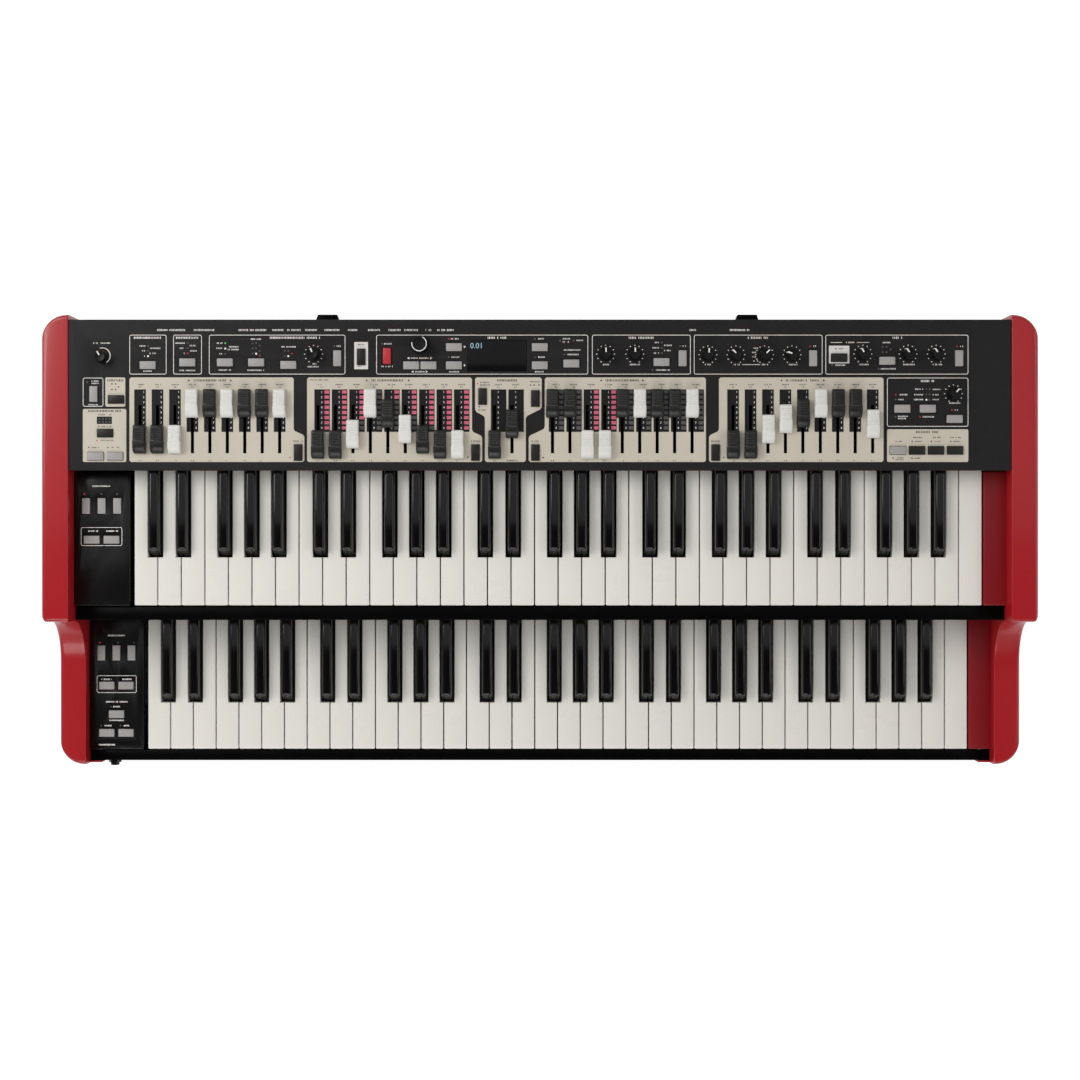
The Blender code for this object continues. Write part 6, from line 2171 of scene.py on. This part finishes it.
@dataclass
class PanelPrint:
    """The cream fields, windows, marks and lamps of the control panel."""

    top: float = PLACE.panel_top
    sunk: float = 0.05
    plate: float = 0.08
    window: float = 0.14
    mark: float = 0.2
    frame_line: float = 0.55
    frame_corner: float = 2.0
    field_corner: float = 1.6
    small_corner: float = 0.5
    cap_hole: Point = (8.25, 4.35)
    window_rear: float = 68.9
    window_front: float = 110.8
    slot_rear: float = 84.1
    slot_front: float = 131.9
    slot_half: float = 1.6
    number_shift: float = 3.65
    number_size: float = 2.1
    lamp_shift: float = 8.75
    lamp_half: Point = (2.3, 1.6)
    small: Rhythm = Rhythm(1.15, 0.66, 0.1)
    bold: Rhythm = Rhythm(1.5, 0.82, 0.06)
    narrow: Rhythm = Rhythm(1.3, 0.72, 0.06)

    def build(self) -> None:
        """Build every layer, from the lowest to the highest."""
        self.frames()
        self.fields()
        self.windows()
        self.ladders()
        self.rows()
        self.dots()
        self.arrows()
        self.scales()

    def flat(
        self, name: str, outlines: Iterable[Sequence[Point]], low: float, high: float, ink: Finish
    ) -> None:
        """Build a flat layer from outlines, between two heights over the panel's top."""
        Shape().plate(outlines, self.top + low, self.top + high).fit(name, ink)

    def frames(self) -> None:
        """Build the thin outlines round the groups of controls, and the rules."""
        outlines = [
            line for sides in PANEL_FRAMES
            for line in band(*field(*sides), self.frame_corner, self.frame_line)
        ]
        outlines += [rectangle(*field(*sides)) for sides in LIGHT_RULES]
        self.flat("panel_outlines", outlines, -self.sunk, self.plate, Ink.LIGHT.value)

    def fields(self) -> None:
        """Build the cream fields and the two pale ones, open at slots and caps."""
        cream = [rounded(*field(*sides), self.field_corner) for sides in ROUND_FIELDS]
        cream += [cut_field(corners, self.field_corner) for corners in CUT_FIELDS]
        pale = [rounded(*field(*sides), self.small_corner) for sides in PALE_FIELDS]
        half = self.slot_half
        slots = [
            rectangle(*field(x - half, x + half, self.slot_rear, self.slot_front))
            for _, _, x in BARS
        ]
        for name, outlines, holes, ink in (
            ("cream_fields", cream, slots, CREAM), ("pale_fields", pale, [], Ink.PALE.value),
        ):
            caps = [
                rectangle(*cap.corners(*self.cap_hole)) for cap in PANEL_CAPS
                if any(self.holds(outline, cap) for outline in outlines)
            ]
            self.flat(name, [*outlines, *holes, *caps], -self.sunk, self.plate, ink)

    @staticmethod
    def holds(outline: Sequence[Point], cap: Cap) -> bool:
        """Tell whether the middle of a cap lies in the box round an outline."""
        xs, ys = zip(*outline)
        return min(xs) < cap.x < max(xs) and min(ys) < cap.y < max(ys)

    def windows(self) -> None:
        """Build the black field round the rear of every slot, and the lamps' own window."""
        half, notch = self.slot_half, PLACE.back(self.slot_rear)
        rear, front = PLACE.back(self.window_rear), PLACE.back(self.window_front)
        outlines = [rounded(*field(*LAMP_WINDOW), self.small_corner)]
        for section, _, x in BARS:
            left, right = section.window.value[:2]
            outlines.append([
                (x + left, front), (x - half, front), (x - half, notch), (x + half, notch),
                (x + half, front), (x + right, front), (x + right, rear), (x + left, rear),
            ])
        self.flat("bar_windows", outlines, 0.0, self.window, Ink.BLACK.value)

    def ladders(self) -> None:
        """Build the numbers 1 to 8 beside the slots, and the lamps lit as far as a bar is drawn."""
        low, thick = self.top + self.window - 0.04, self.mark - self.window
        y = PLACE.back(self.window_rear + BAR_STEP / 2)
        digits = []
        for number in range(1, 9):
            digit = Shape().text(str(number), self.number_size, thick + 0.04, 1)
            xs, ys = ([vert.co[axis] for vert in digit.mesh.verts] for axis in (0, 1))
            middle = ((min(xs) + max(xs)) / -2, (min(ys) + max(ys)) / -2, 0.0)
            digits.append(digit.moved(Matrix.Translation(middle)).piece(f"digit_{number}"))
        stock = Stock(digits)
        spots = [(x + self.number_shift, y, low) for _, _, x in BARS]
        # The numbers are print, but they take the white lamps' ink, whose glow is painted light on
        # them.
        white = Ink.WHITE.value
        rungs = [len(digits)] * len(spots)
        fit(stock.set_out("bar_numbers", spots, white, rungs=rungs), CASE, white)
        stock.clear()
        half, reach = self.lamp_half
        lamp = Shape().box((-half, -reach, 0.0), (half, reach, thick + 0.06), 0.05, 1)
        stock = Stock([lamp.piece("lamp_0")])
        bars = [(x, step) for section, step, x in BARS if section.window is Window.LAMPS]
        spots = [(x + self.lamp_shift, y, low) for x, _ in bars]
        lit = [step for _, step in bars]
        for name, ink, firsts, rungs in (
            ("level_lamps_lit", Ink.ROSE.value, (), lit),
            ("level_lamps_off", Ink.DIM.value, lit, [len(digits) - step for step in lit]),
        ):
            fit(stock.set_out(name, spots, ink, firsts, rungs=rungs), CASE, ink)
        stock.clear()

    def rows(self) -> None:
        """Build every row of marks on the panel."""
        labels = list(DARK_LABELS)
        for section, _, x in BARS:
            middle = x if section.window is Window.NARROW else x + 3.6
            labels += [
                (middle - 3.6, middle + 3.6, 64.2), (middle - 1.2, middle + 1.2, 66.6),
                (x - 1.6, x + 1.6, 139.1),
            ]
        rear = [(*ends, REAR_LABELS_BACK) for ends in REAR_LABELS]
        light, dark, over = Ink.LIGHT.value, Ink.DARK.value, self.plate + 0.03
        for name, rows, tall, z, ink, rhythm, seed in (
            ("light_titles", LIGHT_TITLES, 2.3, 0.04, light, self.bold, 3),
            ("rear_labels", rear, 2.0, 0.04, light, self.narrow, 5),
            ("light_labels", LIGHT_LABELS, 1.5, 0.04, light, self.small, 7),
            ("dark_titles", DARK_TITLES, 2.4, over, dark, self.bold, 9),
            ("dark_labels", labels, 1.4, over, dark, self.small, 11),
        ):
            spans = [(left, right, PLACE.back(back)) for left, right, back in rows]
            mark_rows(name, spans, tall, self.top + z, ink, rhythm, seed)

    def dots(self) -> None:
        """Build the small lamps of the panel and the dots of the cream fields."""
        for name, ink, spots, half, over in (
            ("lamps_off", Ink.DIM, DIM_LAMPS, 0.75, 0.0),
            ("lamps_white", Ink.WHITE, WHITE_LAMPS, 0.8, 0.0),
            ("lamps_red", Ink.RED, RED_LAMPS, 0.65, 0.0),
            ("lamps_green", Ink.GREEN, GREEN_LAMPS, 0.65, 0.0),
            ("plate_dots", Ink.DARK, PLATE_DOTS, 0.65, self.plate),
            ("plate_dots_red", Ink.RED, RED_DOTS, 0.65, self.plate),
            ("window_lamps", Ink.DIM, WINDOW_LAMPS, 0.8, self.window),
        ):
            middles, z = [(x, PLACE.back(back)) for x, back in spots], self.top + over
            square_lamps(name, middles, half, z - self.sunk, z + PRINT, ink.value)

    def arrows(self) -> None:
        """Build the arrow heads beside the titles and the display."""
        for name, ink, heads, over in (
            ("light_arrows", Ink.LIGHT, LIGHT_ARROWS, 0.0),
            ("dark_arrows", Ink.DARK, DARK_ARROWS, self.plate),
        ):
            outlines = []
            for x, back, side in heads:
                foot, y = x - side * 0.9, PLACE.back(back)
                outlines.append([(foot, y - 1.2), (x + side * 1.1, y), (foot, y + 1.2)])
            self.flat(name, outlines, over - 0.04, over + 0.08, ink.value)

    def scales(self) -> None:
        """Build the dots round every small knob, and the white arc round the master knob."""
        light = Ink.LIGHT.value
        (_, across, back, _), *others = KNOBS
        spots = [PLACE.spot(x, v, self.top + 0.03) for _, x, v, _ in others]
        values = {"Radius": 8.7 * MM, "Dot Size": 0.95 * MM, "Thickness": PRINT * MM}
        fit(dial_scale_tree().grow("knob_scales", point_mesh(spots), light, values), CASE, light)
        centre = (PLACE.across(across) + 0.2, PLACE.back(back) + 1.3)
        swell = [(110, 7.6), (80, 7.5), (50, 7.4), (20, 7.25), (0, 7.2), (-30, 7.25), (-60, 7.4)]
        ring = arc(centre, 8.1, -60, 110, 24)
        ring += [arc(centre, inner, angle, angle, 1)[0] for angle, inner in swell]
        self.flat("master_arc", [ring], -0.04, 0.09, light)


@dataclass
class PresetPrint:
    """The marks, lamps and outline of one preset block."""

    name: str
    top: float
    outline: tuple[float, float, float, float]
    labels: tuple[Triple, ...]
    red: tuple[Point, ...]
    dim: tuple[Point, ...]
    sunk: float = 0.05
    plate: float = 0.08
    lamp: float = 0.14
    rhythm: Rhythm = Rhythm(1.2, 0.85, 0.1)

    def build(self) -> None:
        """Build the outline, the rows of marks and the lamps."""
        left, right, rear, front = self.outline
        name, top, light = self.name, self.top, Ink.LIGHT.value
        lines = band((left, front), (right, rear), 1.8, 0.5)
        low = top - self.sunk
        Shape().plate(lines, low, top + self.plate).fit(f"{name}_outline", light)
        mark_rows(f"{name}_labels", self.labels, 1.6, top + 0.04, light, self.rhythm, 13)
        for kind, ink, spots in (("red", Ink.RED, self.red), ("dim", Ink.DIM, self.dim)):
            square_lamps(f"{name}_lamps_{kind}", spots, 0.8, low, top + self.lamp, ink.value)


PRESET_PRINTS = (
    PresetPrint(
        "upper_preset", 127.0, (-457.9, -416.8, 18.3, -0.2),
        ((-446.6, -428.6, 59.3), (-451.9, -440.9, 14.5), (-432.9, -420.9, 14.5)),
        ((-454.6, 51.4),), ((-437.4, 51.4), (-421.9, 51.4)),
    ),
    PresetPrint(
        "lower_preset", 62.0, (-457.4, -416.5, -134.2, -152.2),
        (
            (-446.0, -428.2, -93.0), (-452.9, -441.9, -138.2), (-431.0, -421.4, -138.2),
            (-449.3, -425.5, -161.4), (-440.6, -433.7, -166.4), (-444.6, -429.6, -180.5),
            (-449.6, -442.4, -186.0), (-429.6, -424.2, -186.0), (-455.5, -438.6, -205.7),
        ),
        ((-454.2, -100.4),),
        ((-435.6, -100.4), (-419.2, -100.4), (-442.8, -166.4), (-452.9, -186.0), (-432.9, -186.0)),
    ),
)


# The studio


@dataclass
class Studio:
    """The pale floor, the soft lamps and the camera straight above."""

    floor_size: float = 14.0
    floor_glow: float = 0.78
    camera_height: float = 1.991
    camera_y: float = 0.0056
    lens: float = 62.29
    white: tuple[float, ...] = (1.0, 1.0, 1.0, 1.0)
    lamps: tuple[tuple[str, Triple, Triple, Point, float], ...] = (
        ("ceiling_lamp", (0.0, 0.88, 2.4), (0.0, 0.88, 0.0), (3.0, 2.0), 11.0),
        ("key_lamp", (-1.6, 0.9, 1.7), (0.0, 0.0, 0.1), (1.8, 0.8), 28.0),
        ("right_lamp", (1.9, 0.2, 1.5), (0.0, 0.0, 0.1), (1.6, 0.5), 8.0),
        ("front_lamp", (-0.3, -1.8, 1.5), (0.0, 0.0, 0.1), (1.8, 1.0), 21.0),
    )

    def build(self) -> None:
        """Build the floor, the world, the lamps and the camera."""
        self.floor()
        self.world()
        for name, spot, target, size, power in self.lamps:
            light = bpy.data.lights.new(name, "AREA")
            light.shape = "RECTANGLE"
            light.size, light.size_y = size
            light.energy = power
            lamp = link_piece(name, light)
            lamp.location = spot
            toward = Vector(target) - Vector(spot)
            lamp.rotation_euler = toward.to_track_quat("-Z", "Y").to_euler()
        data = bpy.data.cameras.new("camera")
        data.lens = self.lens
        data.sensor_width = 36.0
        data.sensor_fit = "HORIZONTAL"
        data.clip_end = 50.0
        camera = link_piece("camera", data)
        camera.location = (0.0, self.camera_y, self.camera_height)
        bpy.context.scene.camera = camera
        bpy.context.scene.view_settings.view_transform = "Standard"

    @staticmethod
    def empty_tree(owner: bpy.types.ID) -> Tree:
        """Give the node tree of a material or world with all its nodes removed."""
        owner.use_nodes = True
        owner.node_tree.nodes.clear()
        return Tree(owner.node_tree)

    def floor(self) -> None:
        """Build the pale floor, which shows white to the camera but keeps the shadow."""
        half = self.floor_size / 2
        mesh = bpy.data.meshes.new("floor")
        corners = [(x, y, 0.0) for x, y in rectangle((-half, -half), (half, half))]
        mesh.from_pydata(corners, [], [(0, 1, 2, 3)])
        made = bpy.data.materials.new("pale_floor")
        tree = self.empty_tree(made)
        cloud = tree.noise(tree.add("ShaderNodeTexCoord", {})["Object"], 3.0)
        tone = tree.mix(cloud, (0.48, 0.48, 0.48, 1.0), (0.52, 0.52, 0.52, 1.0))
        path = tree.add("ShaderNodeLightPath", {})
        seen = tree.math("MAXIMUM", path["Is Camera Ray"], path["Is Glossy Ray"])
        seen = tree.math("MAXIMUM", seen, path["Is Transmission Ray"])
        both = tree.add("ShaderNodeAddShader", {
            0: tree.add("ShaderNodeBsdfDiffuse", {"Color": tone})[0],
            1: tree.add("ShaderNodeEmission", {
                "Color": self.white, "Strength": tree.math("MULTIPLY", seen, self.floor_glow),
            })[0],
        })[0]
        tree.add("ShaderNodeOutputMaterial", {"Surface": both})
        mesh.materials.append(made)
        floor = link_piece("floor", mesh)

    def world(self) -> None:
        """Build the sky of the studio: dim overhead and brighter towards the sides."""
        world = bpy.data.worlds.new("studio")
        bpy.context.scene.world = world
        tree = self.empty_tree(world)
        spot = tree.add("ShaderNodeTexCoord", {})["Generated"]
        height = tree.add("ShaderNodeSeparateXYZ", {"Vector": spot})["Z"]
        level = tree.ramp(height, 0.15, 1.0, start=0.62, end=0.03)
        shown = tree.add("ShaderNodeMixShader", {
            0: tree.add("ShaderNodeLightPath", {})["Is Camera Ray"],
            1: tree.add("ShaderNodeBackground", {"Color": self.white, "Strength": level})[0],
            2: tree.add("ShaderNodeBackground", {"Color": self.white, "Strength": 1.0})[0],
        })[0]
        tree.add("ShaderNodeOutputWorld", {"Surface": shown})


@dataclass
class ComboOrgan:
    """The whole organ, one sub-assembly after the other."""

    manuals: tuple[Manual, ...] = (
        Manual(
            "upper", PLACE.upper_front, PLACE.upper_keys,
            ((14, "upper_key_c4"), (15, "upper_key_d4")),
            ((14, "upper_key_c_sharp4"), (15, "upper_key_d_sharp4")),
        ),
        Manual("lower", PLACE.lower_front, PLACE.lower_keys),
    )

    def build(self) -> None:
        """Build the organ."""
        Cheek("left_cheek", -1).build()
        right = Cheek("right_cheek", 1)
        right.end_blocks()
        right.build()
        Housing().build()
        sizes = KeyStock()
        naturals = KeySet("naturals", sizes.stock(), IVORY, 6.0, 0.0, 4.5)
        sharps = KeySet("sharps", Stock([sizes.sharp("sharp_0")]), EBONY, 14.0, 5.7, 11.6)
        for manual in self.manuals:
            manual.build(sizes, naturals, sharps)
        naturals.stock.clear()
        sharps.stock.clear()
        for part in (
            Drawbars(), Knobs(), Buttons(), RearWorks(), Display(), PanelPrint(), *PRESET_PRINTS,
        ):
            part.build()


def main() -> None:
    """Build the organ in its studio."""
    logging.basicConfig(level=logging.INFO, format="%(name)s %(message)s")
    ComboOrgan().build()
    Studio().build()


if __name__ == "__main__":
    main()
